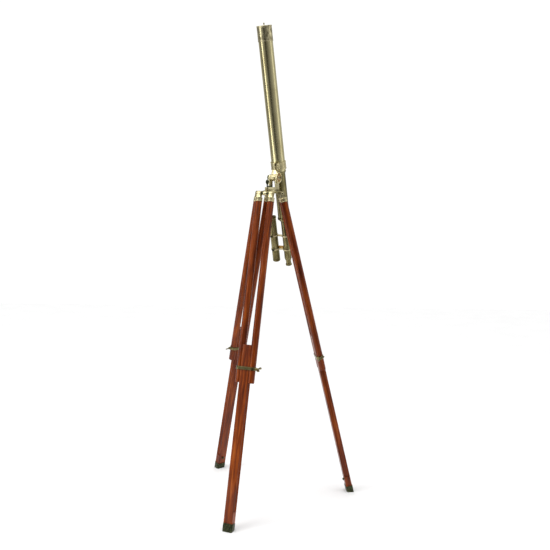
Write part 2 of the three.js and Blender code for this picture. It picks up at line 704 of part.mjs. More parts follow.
// Tube frame: +X from the tilt bolt to the tube axis. The collar's shapes are drawn about the tube axis.
function mountCollar() {
  const ring = sleeve(collarBore, collarOuter, COLLAR_BOTTOM, COLLAR_TOP, SIDES_TUBE);
  const lugReach = -TUBE_OFFSET;
  const outline = [
    [-BARREL_RADIUS + 6, COLLAR_BOTTOM + 4],
    [-collarOuter - 3, COLLAR_BOTTOM + 4],
    ...arcPoints(lugReach, 0, EYE_RADIUS, 80, 280, 12),
    [-collarOuter, -SADDLE_DROP],
    [-BARREL_RADIUS + 6, -SADDLE_DROP],
  ];
  const lug = plateXZ(outline, 2 * (ARM_INNER - GAP));
  const ears = moved(
    block(earLength, earsThickness, COLLAR_TOP - COLLAR_BOTTOM - 6),
    collarBore + 1 + earLength / 2, 0, collarMiddle + 3);
  const slot = moved(block(3 * earLength, COLLAR_SLOT, 100), collarOuter, 0, collarMiddle);
  const screwHole = moved(
    crossBar(holeRadius(COLLAR_SCREW_RADIUS, SIDES_SMALL), -earsThickness, earsThickness, SIDES_SMALL),
    collarScrewReach, 0, collarMiddle + 3);
  const turn = rad(COLLAR_EAR_ANGLE);
  const clamp = cut(join(ring, ears.rotateZ(turn)), slot.rotateZ(turn), screwHole.rotateZ(turn));
  const tubeSpace = disc(collarBore, -SADDLE_DROP - 1, COLLAR_BOTTOM + 1, SIDES_TUBE);
  const boltHole = moved(
    crossBar(holeRadius(TILT_BOLT_RADIUS, SIDES_SMALL), -2 * ARM_INNER, 2 * ARM_INNER, SIDES_SMALL), lugReach, 0, 0);
  const saddle = cut(lug, tubeSpace, boltHole);
  const barrelSpace = disc(collarBore, COLLAR_BOTTOM - 1, COLLAR_TOP + 1, SIDES_TUBE);
  return cut(join(clamp, saddle), barrelSpace);
}

function collarScrew() {
  const near = earsThickness / 2 + GAP;
  const head = crossBar(COLLAR_KNOB_RADIUS, near, near + COLLAR_KNOB_THICKNESS, SIDES_ROD);
  const shank = crossBar(COLLAR_SCREW_RADIUS, -earsThickness / 2 - 2, near + 1, SIDES_SMALL);
  return moved(join(head, shank), collarScrewReach, 0, collarMiddle + 3).rotateZ(rad(COLLAR_EAR_ANGLE));
}

// ---------------------------------------------------------------- finder

const finderBore = FINDER_RADIUS - FINDER_WALL;
const finderLensRadius = holeShaft(finderBore, SIDES_TUBE);

function finderTube() {
  const outline = [
    [finderBore, FINDER_BOTTOM],
    [FINDER_RADIUS, FINDER_BOTTOM],
    [FINDER_RADIUS, FINDER_TOP - 10],
    [FINDER_RADIUS + 1.5, FINDER_TOP - 8],
    [FINDER_RADIUS + 1.5, FINDER_TOP],
    [finderBore, FINDER_TOP],
    [finderBore, FINDER_BOTTOM],
  ];
  return turned(outline, SIDES_TUBE);
}

const finderEyeTop = FINDER_BOTTOM + FINDER_EYE_OVERLAP;
const finderEyeBottom = FINDER_BOTTOM - FINDER_EYE_LENGTH;

function finderEyepiece() {
  const eyeHole = 4;
  const bore = finderLensRadius - 2;
  const outline = [
    [eyeHole, finderEyeBottom],
    [FINDER_RADIUS * 0.55, finderEyeBottom],
    [FINDER_RADIUS * 0.85, finderEyeBottom + 3],
    [FINDER_RADIUS, finderEyeBottom + 8],
    [FINDER_RADIUS, FINDER_BOTTOM - GAP],
    [finderLensRadius, FINDER_BOTTOM - GAP],
    [finderLensRadius, finderEyeTop],
    [bore, finderEyeTop],
    [bore, finderEyeBottom + 4],
    [eyeHole, finderEyeBottom + 4],
    [eyeHole, finderEyeBottom],
  ];
  return turned(outline, SIDES_ROD);
}

// A bracket is two rings joined by a bridge, drawn about the main tube's axis with the finder along +Y.
function finderBracket(station, blockHeight) {
  const low = station - BRACKET_HEIGHT / 2;
  const high = station + BRACKET_HEIGHT / 2;
  const tailHole = holeRadius(TAIL_RADIUS, SIDES_TUBE);
  const finderHole = holeRadius(FINDER_RADIUS, SIDES_TUBE);
  const tailRing = disc(tailHole + BRACKET_WALL, low, high, SIDES_TUBE);
  const finderRing = moved(disc(finderHole + BRACKET_WALL, low, high, SIDES_TUBE), 0, FINDER_OFFSET, 0);
  const bridge = moved(block(BRACKET_ARM_WIDTH, FINDER_OFFSET, BRACKET_HEIGHT), 0, FINDER_OFFSET / 2, station);
  const above = high + blockHeight + 1;
  const tailSpace = disc(tailHole, low - 1, above, SIDES_TUBE);
  const finderSpace = moved(disc(finderHole, low - 1, above, SIDES_TUBE), 0, FINDER_OFFSET, 0);
  const screwHole = moved(
    disc(holeRadius(FINDER_SCREW_RADIUS, SIDES_SMALL), 0, FINDER_RADIUS + 3 * BRACKET_WALL, SIDES_SMALL)
      .rotateY(-Math.PI / 2), 0, FINDER_OFFSET, station);
  const spacer = moved(
    block(BRACKET_ARM_WIDTH, BRIDGE_BLOCK_LENGTH, BRACKET_HEIGHT / 2 + blockHeight),
    0, FINDER_OFFSET / 2, station + (BRACKET_HEIGHT / 2 + blockHeight) / 2);
  return cut(join(tailRing, finderRing, bridge, spacer), tailSpace, finderSpace, screwHole);
}

function finderScrew(station) {
  const start = FINDER_RADIUS + GAP;
  const outline = [
    [0, start],
    [FINDER_SCREW_RADIUS, start],
    [FINDER_SCREW_RADIUS, start + FINDER_SCREW_LENGTH - 5],
    [FINDER_KNOB_RADIUS, start + FINDER_SCREW_LENGTH - 5],
    [FINDER_KNOB_RADIUS, start + FINDER_SCREW_LENGTH],
    [0, start + FINDER_SCREW_LENGTH],
  ];
  return moved(turned(outline, SIDES_SMALL).rotateY(-Math.PI / 2), 0, FINDER_OFFSET, station);
}

// ---------------------------------------------------------------- assembly

const telescope = new THREE.Group();

for (const [name, azimuth] of Object.entries(LEG_AZIMUTHS)) {
  addLeg(telescope, name, azimuth);
}

const head = new THREE.Group();
head.position.z = HINGE_HEIGHT;
telescope.add(head);
addPart(head, 'head_spider', headSpider(), brass);
addPart(head, 'king_bolt', kingBolt(), bronze);

const swivel = new THREE.Group();
swivel.rotation.z = rad(BRACKET_AZIMUTH);
head.add(swivel);
addPart(swivel, 'swivel_bracket', swivelBracket(), brass);
addPart(swivel, 'pan_lock_screw', panLock(), bronze).position.x = -PAN_LOCK_OFFSET;

const tilt = new THREE.Group();
tilt.position.set(FORK_OFFSET, 0, TILT_HEIGHT);
swivel.add(tilt);
addPart(tilt, 'tilt_bolt', tiltBolt(), bronze);
addPart(tilt, 'tilt_handwheel', tiltWheel(), brass);
addPart(tilt, 'tilt_back_nut', backNut(), bronze);

const tube = new THREE.Group();
tube.rotation.y = -rad(TUBE_LEAN);
tilt.add(tube);
const bore = new THREE.Group();
bore.position.x = TUBE_OFFSET;
tube.add(bore);
addPart(bore, 'mount_collar', mountCollar(), brass);
addPart(bore, 'collar_thumbscrew', collarScrew(), brass);
addPart(bore, 'main_barrel', mainBarrel(), brass);
addPart(bore, 'lower_barrel', lowerBarrel(), brass);
addPart(bore, 'barrel_end_ring', endRing(), brass);
addPart(bore, 'tail_tube', tailTube(), brass);
addPart(bore, 'objective_cell', objectiveCell(), brass);
addPart(bore, 'objective_flint_lens', lens(lensRadius, flintBase, LENS_THICKNESS, 0, SIDES_TUBE), glass);
addPart(
  bore, 'objective_crown_lens', lens(lensRadius, crownBase, LENS_THICKNESS, LENS_RISE, SIDES_TUBE), glass);
addPart(bore, 'objective_retaining_ring', retainingRing(), brass);
addPart(bore, 'dust_cap', dustCap(), brass);
addPart(bore, 'draw_tube', drawTube(), brass);
addPart(bore, 'eyepiece_body', eyepieceBody(), brass);
const eyeLensRadius = holeShaft(eyepieceBore, SIDES_ROD);
addPart(bore, 'eyepiece_eye_lens', lens(eyeLensRadius, eyepieceBottom + 5 + GAP, 2.5, 2, SIDES_ROD), glass);
addPart(bore, 'eyepiece_field_lens', lens(eyeLensRadius, drawBottom + 6, 2.5, 2, SIDES_ROD), glass);

const finder = new THREE.Group();
finder.position.y = FINDER_OFFSET;
bore.add(finder);
addPart(finder, 'finder_tube', finderTube(), brass);
addPart(finder, 'finder_objective_lens', lens(finderLensRadius, FINDER_TOP - 9, 3, 1.5, SIDES_TUBE), glass);
addPart(finder, 'finder_eyepiece', finderEyepiece(), brass);
addPart(finder, 'finder_eye_lens',
  lens(holeShaft(finderLensRadius - 2, SIDES_ROD), finderEyeBottom + 4 + GAP, 2, 2, SIDES_ROD), glass);
for (const [name, station] of Object.entries(BRACKET_STATIONS)) {
  const spacerHeight = name === 'lower' ? BRIDGE_BLOCK_HEIGHT : 0;
  addPart(bore, `finder_bracket_${name}`, finderBracket(station, spacerHeight), brass);
  addPart(bore, `finder_screw_${name}`, finderScrew(station), brass);
}

// The origin is the middle of the base of everything, on the floor.
telescope.updateMatrixWorld(true);
const extent = new THREE.Box3().setFromObject(telescope, true);
const middle = extent.getCenter(new THREE.Vector3());
telescope.position.set(-middle.x, -middle.y, -extent.min.z);
telescope.updateMatrixWorld(true);

export default telescope;
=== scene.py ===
# %% [markdown]
# # A brass telescope on a hardwood tripod
# The real thing is some sixty pieces of turned brass, varnished mahogany and dark steel. This lesson
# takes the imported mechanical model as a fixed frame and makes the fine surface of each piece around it:
# turned parts as revolved outlines, forks and lugs as bevelled plates, and every finish from nodes.

# %% Load the frame
import json
import math
import bmesh
import bpy
from mathutils import Matrix, Vector


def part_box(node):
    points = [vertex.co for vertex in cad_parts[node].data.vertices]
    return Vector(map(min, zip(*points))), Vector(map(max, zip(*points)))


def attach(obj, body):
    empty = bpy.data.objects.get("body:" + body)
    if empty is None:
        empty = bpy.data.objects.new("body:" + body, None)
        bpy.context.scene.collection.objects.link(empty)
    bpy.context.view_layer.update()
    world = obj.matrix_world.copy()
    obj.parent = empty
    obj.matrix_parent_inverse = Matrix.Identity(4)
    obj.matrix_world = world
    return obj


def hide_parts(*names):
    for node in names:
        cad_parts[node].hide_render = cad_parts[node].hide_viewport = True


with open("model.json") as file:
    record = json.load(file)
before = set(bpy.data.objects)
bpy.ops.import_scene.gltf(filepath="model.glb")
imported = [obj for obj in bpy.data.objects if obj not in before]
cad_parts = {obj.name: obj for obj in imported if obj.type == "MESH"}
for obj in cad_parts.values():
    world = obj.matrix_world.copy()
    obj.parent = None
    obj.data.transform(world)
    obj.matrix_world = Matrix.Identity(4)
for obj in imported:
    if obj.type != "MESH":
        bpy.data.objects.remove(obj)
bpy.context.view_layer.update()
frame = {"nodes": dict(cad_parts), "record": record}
MM = 0.001

# %% [markdown]
# ## A place for each assembly
# A leg leans out from its hinge and the tube leans over its fork, so nothing here is square to the world.
# Working in each assembly's own axes makes every piece upright and centred while it is drawn. The frame's
# joints already hold those axes: a leg's hinge and slide give two of the three, the cross product the last.

# %% Places from the joints
joints = {joint["name"]: joint for joint in frame["record"]["behaviour"]["joints"]}


def place_at(origin, side, up):
    """A matrix whose Y is side and whose Z is up."""
    y, z = Vector(side).normalized(), Vector(up).normalized()
    matrix = Matrix((y.cross(z), y, z)).transposed().to_4x4()
    matrix.translation = origin
    return matrix


def middle_of(node):
    low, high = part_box(node)
    return (Vector(low) + Vector(high)) / 2


LEGS = ("front", "rear", "side")
leg_place = {
    leg: place_at(Vector(joints[f"{leg}_leg_fold"]["pos_m"]), joints[f"{leg}_leg_fold"]["axis"],
                  joints[f"{leg}_leg_slide"]["axis"])
    for leg in LEGS
}
tilt_origin = Vector(joints["tilt"]["pos_m"])
tilt_side = -Vector(joints["tilt"]["axis"])
tube_up = Vector(joints["dust_cap_pull"]["axis"])
head_place = place_at(Vector(joints["pan"]["pos_m"]), tilt_side, (0, 0, 1))
tilt_place = place_at(tilt_origin, tilt_side, (0, 0, 1))


def on_tube(node):
    """The place on a tube's own axis, level with the tilt bolt."""
    centre = middle_of(node)
    return place_at(centre - tube_up * (centre - tilt_origin).dot(tube_up), tilt_side, tube_up)


tube_place = on_tube("main_barrel")
finder_place = on_tube("finder_tube")
print("places:", {leg: tuple(round(v, 3) for v in leg_place[leg].translation) for leg in LEGS})

# %% [markdown]
# ## Measuring a piece in its own axes
# Sizes are never typed twice: each comes from the frame's solid. `span` gives the lowest and highest
# corner of a node in the axes it was designed in, so a tube's radius and ends can be read straight off.

# %% Measure in local axes
def span(node, place):
    back = place.inverted()
    points = [back @ vertex.co for vertex in frame["nodes"][node].data.vertices]
    low = Vector([min(p[i] for p in points) for i in range(3)])
    high = Vector([max(p[i] for p in points) for i in range(3)])
    return low, high


def radius_of(node, place):
    """The largest radius about the place's Z axis."""
    back = place.inverted()
    return max((back @ vertex.co).xy.length for vertex in frame["nodes"][node].data.vertices)


print("barrel radius, mm:", round(radius_of("main_barrel", tube_place) / MM, 2))

# %% [markdown]
# ## Colours and nodes
# Paint and finish charts give colours in sRGB, but shading is done in linear light, so one function
# converts hex values. Another adds a node with its settings and links in a single call, which keeps each
# material readable as a recipe.

# %% Colour and node helpers
def linear(hex_colour):
    channels = [int(hex_colour[i:i + 2], 16) / 255 for i in (0, 2, 4)]
    bright = [c / 12.92 if c <= 0.04045 else ((c + 0.055) / 1.055) ** 2.4 for c in channels]
    return (*bright, 1.0)


def feed(tree, node, **inputs):
    """Sets each input to a value, or links another node's output to it. i3 means input number 3."""
    for key, value in inputs.items():
        numbered = key[0] == "i" and key[1:].isdigit()
        socket = node.inputs[int(key[1:]) if numbered else key.replace("_", " ")]
        if isinstance(value, bpy.types.NodeSocket):
            tree.links.new(value, socket)
        else:
            socket.default_value = value


def add(tree, kind, settings=None, **inputs):
    """A node of this kind, with its settings and inputs."""
    node = tree.nodes.new(kind)
    for key, value in (settings or {}).items():
        setattr(node, key, value)
    feed(tree, node, **inputs)
    return node


def ramp(tree, factor, *stops):
    """A colour ramp through (position, hex colour) stops."""
    node = add(tree, "ShaderNodeValToRGB", Fac=factor)
    elements = node.color_ramp.elements
    while len(elements) < len(stops):
        elements.new(0.5)
    for element, (position, colour) in zip(elements, stops):
        element.position = position
        element.color = linear(colour)
    return node.outputs["Color"]


def new_material(name):
    material = bpy.data.materials.new(name)
    material.use_nodes = True
    tree = material.node_tree
    tree.nodes.clear()
    shader = tree.nodes.new("ShaderNodeBsdfPrincipled")
    output = tree.nodes.new("ShaderNodeOutputMaterial")
    tree.links.new(shader.outputs["BSDF"], output.inputs["Surface"])
    return material, tree, shader


def local_point(tree, stretch):
    """The piece's own coordinates, each axis scaled, shifted so that no two pieces match."""
    point = add(tree, "ShaderNodeTexCoord").outputs["Object"]
    chance = add(tree, "ShaderNodeObjectInfo").outputs["Random"]
    shift = add(tree, "ShaderNodeCombineXYZ", X=chance, Y=chance, Z=chance).outputs[0]
    moved = add(tree, "ShaderNodeVectorMath", {"operation": "ADD"}, i0=point, i1=shift).outputs[0]
    return add(tree, "ShaderNodeVectorMath", {"operation": "MULTIPLY"}, i0=moved, i1=stretch).outputs[0]


print("helpers ready")

# %% [markdown]
# ## Varnished mahogany
# The rods and sliding legs are mahogany, stained red-brown, sanded and brushed with several coats of gloss
# varnish. The eye gets three things from it: broad ribbons of light and dark some 8 mm wide that run
# along the stick, short dark pores, and a hard clear gloss on top that mirrors the lights. Pores are
# really about 0.2 mm wide; they are drawn near 0.8 mm so that they show. The gloss is the shader's coat,
# so the wood beneath can stay fairly rough.

# %% Mahogany
def make_mahogany():
    material, tree, shader = new_material("varnished_mahogany")
    ribbons = add(tree, "ShaderNodeTexNoise", Vector=local_point(tree, (1, 1, 0.06)), Scale=120.0,
                  Detail=4.0, Roughness=0.6, Distortion=0.4)
    pores = add(tree, "ShaderNodeTexNoise", Vector=local_point(tree, (1, 1, 0.05)), Scale=900.0,
                Detail=2.0, Roughness=0.5)
    patches = add(tree, "ShaderNodeTexNoise", Vector=local_point(tree, (1, 1, 0.35)), Scale=14.0, Detail=2.0)
    wood = ramp(tree, ribbons.outputs["Fac"], (0.30, "4A1B05"), (0.48, "7E360B"), (0.62, "A04D14"),
                (0.80, "BC6A24"))
    cloud = ramp(tree, patches.outputs["Fac"], (0.35, "A5704E"), (0.65, "FFFFFF"))
    clouded = add(tree, "ShaderNodeMix", {"data_type": "RGBA", "blend_type": "MULTIPLY"}, i0=0.6, i6=wood,
                  i7=cloud)
    pore_mask = add(tree, "ShaderNodeMapRange", Value=pores.outputs["Fac"], i1=0.60, i2=0.74, i3=0.0, i4=0.55)
    grained = add(tree, "ShaderNodeMix", {"data_type": "RGBA"}, i0=pore_mask.outputs[0],
                  i6=clouded.outputs[2], i7=linear("240B04"))
    rough = add(tree, "ShaderNodeMapRange", Value=ribbons.outputs["Fac"], i1=0.3, i2=0.8, i3=0.30, i4=0.46)
    bump = add(tree, "ShaderNodeBump", Height=pore_mask.outputs[0], Strength=0.12, Distance=0.3 * MM)
    feed(tree, shader, Base_Color=grained.outputs[2], Roughness=rough.outputs[0], Normal=bump.outputs[0],
         Coat_Weight=0.3, Coat_Roughness=0.1, Specular_IOR_Level=0.08, IOR=1.5)
    return material


mahogany = make_mahogany()
print("made", mahogany.name)

# %% [markdown]
# ## Brass, turned and lacquered
# Tubes are drawn brass, polished on a lathe and lacquered. Lacquer keeps it pale and slightly green-gold;
# where hands and years have worn it, it browns. A lathe leaves rings round the axis too fine to see one by
# one, which blur a highlight a little along the tube. Here they are 1.5 mm apart and very shallow.
# Castings such as the fork and spider are fettled and buffed rather than turned, so they carry a soft
# mottle instead. One recipe makes both, with the amount of ring, tarnish and roughness as its choices.

# %% Brass
def make_brass(name, fresh, aged, tarnish, roughness, rings, patch=38.0, relief_strength=0.008):
    material, tree, shader = new_material(name)
    mottle = add(tree, "ShaderNodeTexNoise", Vector=local_point(tree, (1, 1, 0.5)), Scale=patch, Detail=5.0,
                 Roughness=0.62)
    specks = add(tree, "ShaderNodeTexNoise", Vector=local_point(tree, (1, 1, 1)), Scale=420.0, Detail=3.0)
    age = add(tree, "ShaderNodeMapRange", Value=mottle.outputs["Fac"], i1=0.42, i2=0.70, i3=0.0, i4=tarnish)
    colour = add(tree, "ShaderNodeMix", {"data_type": "RGBA"}, i0=age.outputs[0], i6=linear(fresh),
                 i7=linear(aged))
    blur = add(tree, "ShaderNodeMath", {"operation": "MULTIPLY_ADD"}, i0=age.outputs[0], i1=0.10,
               i2=roughness)
    fleck = add(tree, "ShaderNodeMath", {"operation": "MULTIPLY_ADD"}, i0=specks.outputs["Fac"], i1=0.03,
                i2=blur.outputs[0])
    lines = add(tree, "ShaderNodeTexWave", {"bands_direction": "Z", "wave_profile": "SIN"},
                Vector=local_point(tree, (1, 1, 1)), Scale=210.0, Distortion=0.6, Detail=2.0)
    relief = add(tree, "ShaderNodeMath", {"operation": "MULTIPLY_ADD"}, i0=lines.outputs["Fac"], i1=rings,
                 i2=specks.outputs["Fac"])
    bump = add(tree, "ShaderNodeBump", Height=relief.outputs[0], Strength=relief_strength, Distance=0.1 * MM)
    feed(tree, shader, Base_Color=colour.outputs[2], Roughness=fleck.outputs[0], Normal=bump.outputs[0],
         Metallic=1.0)
    return material


tube_brass = make_brass("lacquered_turned_brass", "CEC599", "A39463", 0.5, 0.17, 1.2)
cast_brass = make_brass("buffed_cast_brass", "CFC59C", "94865A", 0.6, 0.32, 0.0, relief_strength=0.03)
dull_brass = make_brass("tarnished_turned_brass", "857C55", "4C4427", 0.8, 0.18, 1.0)
cap_brass = make_brass("handled_cap_brass", "D6CCA4", "4F4629", 0.9, 0.22, 0.5, patch=120.0)
gold_brass = make_brass("aged_golden_brass", "B99558", "8A6636", 0.7, 0.30, 0.8)
print("made", [m.name for m in (tube_brass, cast_brass, dull_brass, cap_brass, gold_brass)])

# %% [markdown]
# ## Bronzed steel and glass
# Bolts, knobs and foot caps are steel or brass with a chemical bronzing, a dark green-brown that is rubbed
# bright on its edges. The lenses are crown and flint glass, whose typical index is 1.52.

# %% Bronze and glass
def make_bronze():
    material, tree, shader = new_material("bronzed_steel")
    mottle = add(tree, "ShaderNodeTexNoise", Vector=local_point(tree, (1, 1, 1)), Scale=160.0, Detail=4.0)
    shade = ramp(tree, mottle.outputs["Fac"], (0.35, "23261C"), (0.55, "41452F"), (0.75, "6A6D4C"))
    rough = add(tree, "ShaderNodeMapRange", Value=mottle.outputs["Fac"], i1=0.3, i2=0.8, i3=0.42, i4=0.24)
    bump = add(tree, "ShaderNodeBump", Height=mottle.outputs["Fac"], Strength=0.15, Distance=0.2 * MM)
    feed(tree, shader, Base_Color=shade, Roughness=rough.outputs[0], Normal=bump.outputs[0], Metallic=0.9)
    return material


def make_glass():
    material, tree, shader = new_material("crown_glass")
    smear = add(tree, "ShaderNodeTexNoise", Vector=local_point(tree, (1, 1, 1)), Scale=60.0, Detail=3.0)
    rough = add(tree, "ShaderNodeMapRange", Value=smear.outputs["Fac"], i1=0.4, i2=0.7, i3=0.01, i4=0.05)
    feed(tree, shader, Base_Color=linear("EAF3EE"), Roughness=rough.outputs[0], Transmission_Weight=1.0,
         IOR=1.52)
    return material


bronze = make_bronze()
glass = make_glass()
print("made", bronze.name, glass.name)

# %% [markdown]
# ## Shapes
# A turned piece is an outline spun about its axis, exactly as a lathe makes it. The outline's corners are
# cut to a small radius first, because a real turned edge is never razor sharp and the little round is
# what catches the light. Plates and castings start as flat outlines with thickness; holes are cut with
# booleans, and a bevel then breaks every edge.

# %% Outline helpers
def rounded(outline, radius):
    """The outline with each corner replaced by a short arc. The ends stay where they are."""
    closed = outline[0] == outline[-1]
    corners = [Vector(p) for p in (outline[:-1] if closed else outline)]
    count = len(corners)
    path = []
    for i, corner in enumerate(corners):
        if not closed and i in (0, count - 1):
            path.append(corner)
            continue
        before, after = corners[i - 1] - corner, corners[(i + 1) % count] - corner
        reach = min(radius, 0.45 * before.length, 0.45 * after.length)
        start, end = corner + before.normalized() * reach, corner + after.normalized() * reach
        for t in (0.0, 0.33, 0.67, 1.0):
            path.append((1 - t) ** 2 * start + 2 * t * (1 - t) * corner + t ** 2 * end)
    if closed:
        path.append(path[0].copy())
    return path


def spun(outline, sides=72, soft=0.5 * MM):
    """A mesh of the outline, as (radius, height) pairs in metres, spun about Z."""
    path = rounded(outline, soft)
    mesh = bmesh.new()
    rings = []
    for radius, height in (path[:-1] if path[0] == path[-1] else path):
        if radius < 1e-7:
            rings.append([mesh.verts.new((0, 0, height))])
        else:
            rings.append([
                mesh.verts.new((radius * math.cos(a), radius * math.sin(a), height))
                for a in (2 * math.pi * k / sides for k in range(sides))
            ])
    if path[0] == path[-1]:
        rings.append(rings[0])
    for low, high in zip(rings, rings[1:]):
        for k in range(sides):
            n = (k + 1) % sides
            corners = [low[k % len(low)], low[n % len(low)], high[n % len(high)], high[k % len(high)]]
            unique = list(dict.fromkeys(corners))
            if len(unique) > 2:
                mesh.faces.new(unique)
    bmesh.ops.recalc_face_normals(mesh, faces=mesh.faces)
    return mesh


def slab(outline, thickness):
    """A mesh of a flat X-Z outline, with thickness along Y about the middle."""
    mesh = bmesh.new()
    face = mesh.faces.new([mesh.verts.new((x, -thickness / 2, z)) for x, z in outline])
    grown = bmesh.ops.extrude_face_region(mesh, geom=[face])
    moved = [v for v in grown["geom"] if isinstance(v, bmesh.types.BMVert)]
    bmesh.ops.translate(mesh, verts=moved, vec=(0, thickness, 0))
    bmesh.ops.recalc_face_normals(mesh, faces=mesh.faces)
    return mesh


def box_mesh(low, high):
    mesh = bmesh.new()
    bmesh.ops.create_cube(mesh, size=1)
    size = Vector(high) - Vector(low)
    for vertex in mesh.verts:
        vertex.co = Vector([(low[i] + high[i]) / 2 + vertex.co[i] * size[i] for i in range(3)])
    return mesh


def shifted(mesh, x=0.0, y=0.0, z=0.0, turn=None):
    """The mesh turned (degrees, axis) and then moved."""
    if turn:
        bmesh.ops.rotate(mesh, verts=mesh.verts, matrix=Matrix.Rotation(math.radians(turn[0]), 3, turn[1]))
    bmesh.ops.translate(mesh, verts=mesh.verts, vec=(x, y, z))
    return mesh


def rod_between(radius, start, end, axis="Y", sides=48):
    """A plain round bar along an axis, for holes and shanks."""
    mesh = spun([(0, start), (radius, start), (radius, end), (0, end)], sides, 0.2 * MM)
    turns = {"Y": (-90, "X"), "X": (90, "Y"), "Z": None}
    return shifted(mesh, turn=turns[axis])


def arc(x, z, radius, first, last, steps=16):
    angles = [math.radians(first + (last - first) * k / steps) for k in range(steps + 1)]
    return [(x + radius * math.cos(a), z + radius * math.sin(a)) for a in angles]


print("shape helpers ready")

# %% [markdown]
# ## From mesh to piece
# `piece` turns a mesh into an object in its place, cuts its holes, breaks its edges with a bevel, shades
# it, gives it its finish, hangs it on the body it rides on and hides the frame's node it stands for.

# %% Piece helper
made = []


def temporary(mesh, place):
    data = bpy.data.meshes.new("tool")
    mesh.to_mesh(data)
    mesh.free()
    thing = bpy.data.objects.new("tool", data)
    bpy.context.scene.collection.objects.link(thing)
    thing.matrix_world = place
    return thing


def shape_with(thing, kind, settings):
    """Adds a modifier and applies it."""
    modifier = thing.modifiers.new(kind.lower(), kind)
    for key, value in settings.items():
        setattr(modifier, key, value)
    graph = bpy.context.evaluated_depsgraph_get()
    data = bpy.data.meshes.new_from_object(thing.evaluated_get(graph))
    thing.modifiers.clear()
    old, thing.data = thing.data, data
    bpy.data.meshes.remove(old)


def piece(node, body, mesh, place, material, join=(), holes=(), bevel=0.0, segments=2, label="fine"):
    thing = temporary(mesh, place)
    for operation, tools in (("UNION", join), ("DIFFERENCE", holes)):
        for tool in tools:
            cutter = temporary(tool, place)
            shape_with(thing, "BOOLEAN", {"operation": operation, "object": cutter, "solver": "EXACT"})
            bpy.data.objects.remove(cutter)
    if bevel:
        shape_with(thing, "BEVEL", {"width": bevel, "segments": segments, "limit_method": "ANGLE",
                                    "angle_limit": math.radians(40), "harden_normals": False})
    thing.name = f"{node}_{label}"
    thing.data.name = thing.name
    thing.data.shade_smooth()
    thing.data.set_sharp_from_angle(angle=math.radians(38))
    thing.data.materials.clear()
    thing.data.materials.append(material)
    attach(thing, body)
    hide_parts(node)
    made.append(thing.name)
    return thing


print("piece helper ready")

# %% [markdown]
# ## The rods
# Each leg's upper half is a pair of turned rods. A spun outline suits them; the foot of each is rounded
# over by about 3 mm, as a dowel is before it is varnished. The tenon inside the ferrule stays plain.

# %% Rods
for leg in LEGS:
    body = f"{leg}_outer_leg"
    for hand in ("left", "right"):
        node = f"{leg}_rod_{hand}"
        low, high = span(node, leg_place[leg])
        place = leg_place[leg] @ Matrix.Translation((0, (low.y + high.y) / 2, 0))
        radius = radius_of(node, place)
        cup = span(f"{leg}_ferrule_{hand}", place)[0].z
        shoulder = cup - 0.2 * MM
        rod = [(0, low.z), (radius - 2.5 * MM, low.z), (radius - 0.7 * MM, low.z + 1.0 * MM),
               (radius, low.z + 3 * MM), (radius, shoulder), (0.75 * radius, shoulder),
               (0.75 * radius, high.z), (0, high.z)]
        piece(node, body, spun(rod, 56, 0.8 * MM), place, mahogany)
print("rods made:", len(made))

# %% [markdown]
# ## The ferrules
# A ferrule is a brass casting: a cup over the rod's tenon, a bead round its mouth, and a tongue with an eye
# for the hinge pin. The cup is spun with its bead in the outline, the tongue is a slab with a round
# end, and the two are joined so that the bevel also softens where they meet.

# %% Ferrules
PIN_RADIUS = 4 * MM
for leg in LEGS:
    for hand in ("left", "right"):
        node = f"{leg}_ferrule_{hand}"
        low, high = span(node, leg_place[leg])
        place = leg_place[leg] @ Matrix.Translation((0, (low.y + high.y) / 2, 0))
        radius = radius_of(node, place)
        eye = high.z
        top = -18 * MM
        cup = [(0, low.z), (radius - 0.4 * MM, low.z), (radius, low.z + 0.8 * MM), (radius, low.z + 2.6 * MM),
               (radius - 0.9 * MM, low.z + 3.4 * MM), (radius - 0.9 * MM, top - 3.5 * MM),
               (radius - 0.2 * MM, top - 2.6 * MM), (radius - 0.2 * MM, top - 1.2 * MM),
               (radius - 1.6 * MM, top), (0, top + 1.5 * MM)]
        tongue = slab([(-eye, top - 1 * MM), (eye, top - 1 * MM)] + arc(0, 0, eye, 0, 180, 20), 16 * MM)
        piece(node, f"{leg}_outer_leg", spun(cup, 56), place, cast_brass, join=[tongue],
              holes=[rod_between(PIN_RADIUS + 0.25 * MM, -20 * MM, 20 * MM)], bevel=0.6 * MM)
print("pieces so far:", len(made))

# %% Hinge pins
for leg in LEGS:
    low, high = span(f"{leg}_hinge_pin", leg_place[leg])
    half, head = high.y, high.z
    face = half - 4 * MM
    core = [(0, -half + 1 * MM), (2.6 * MM, -half + 1 * MM), (2.6 * MM, -face), (PIN_RADIUS, -face),
            (PIN_RADIUS, face), (2.6 * MM, face), (2.6 * MM, half - 1 * MM), (0, half - 1 * MM)]
    piece(f"{leg}_hinge_pin", f"{leg}_outer_leg", shifted(spun(core, 32, 0.3 * MM), turn=(-90, "X")),
          leg_place[leg], bronze)
    for side in (1, -1):
        ring = [(2.6 * MM, face), (head, face), (head, half - 1.6 * MM), (head - 1.2 * MM, half),
                (3.2 * MM, half), (2.6 * MM, half - 0.8 * MM), (2.6 * MM, face)]
        ring_mesh = shifted(spun(ring, 48, 0.4 * MM), turn=(-90 * side, "X"))
        piece(f"{leg}_hinge_pin", f"{leg}_outer_leg", ring_mesh, leg_place[leg], cast_brass, label="ring")
print("pieces so far:", len(made))
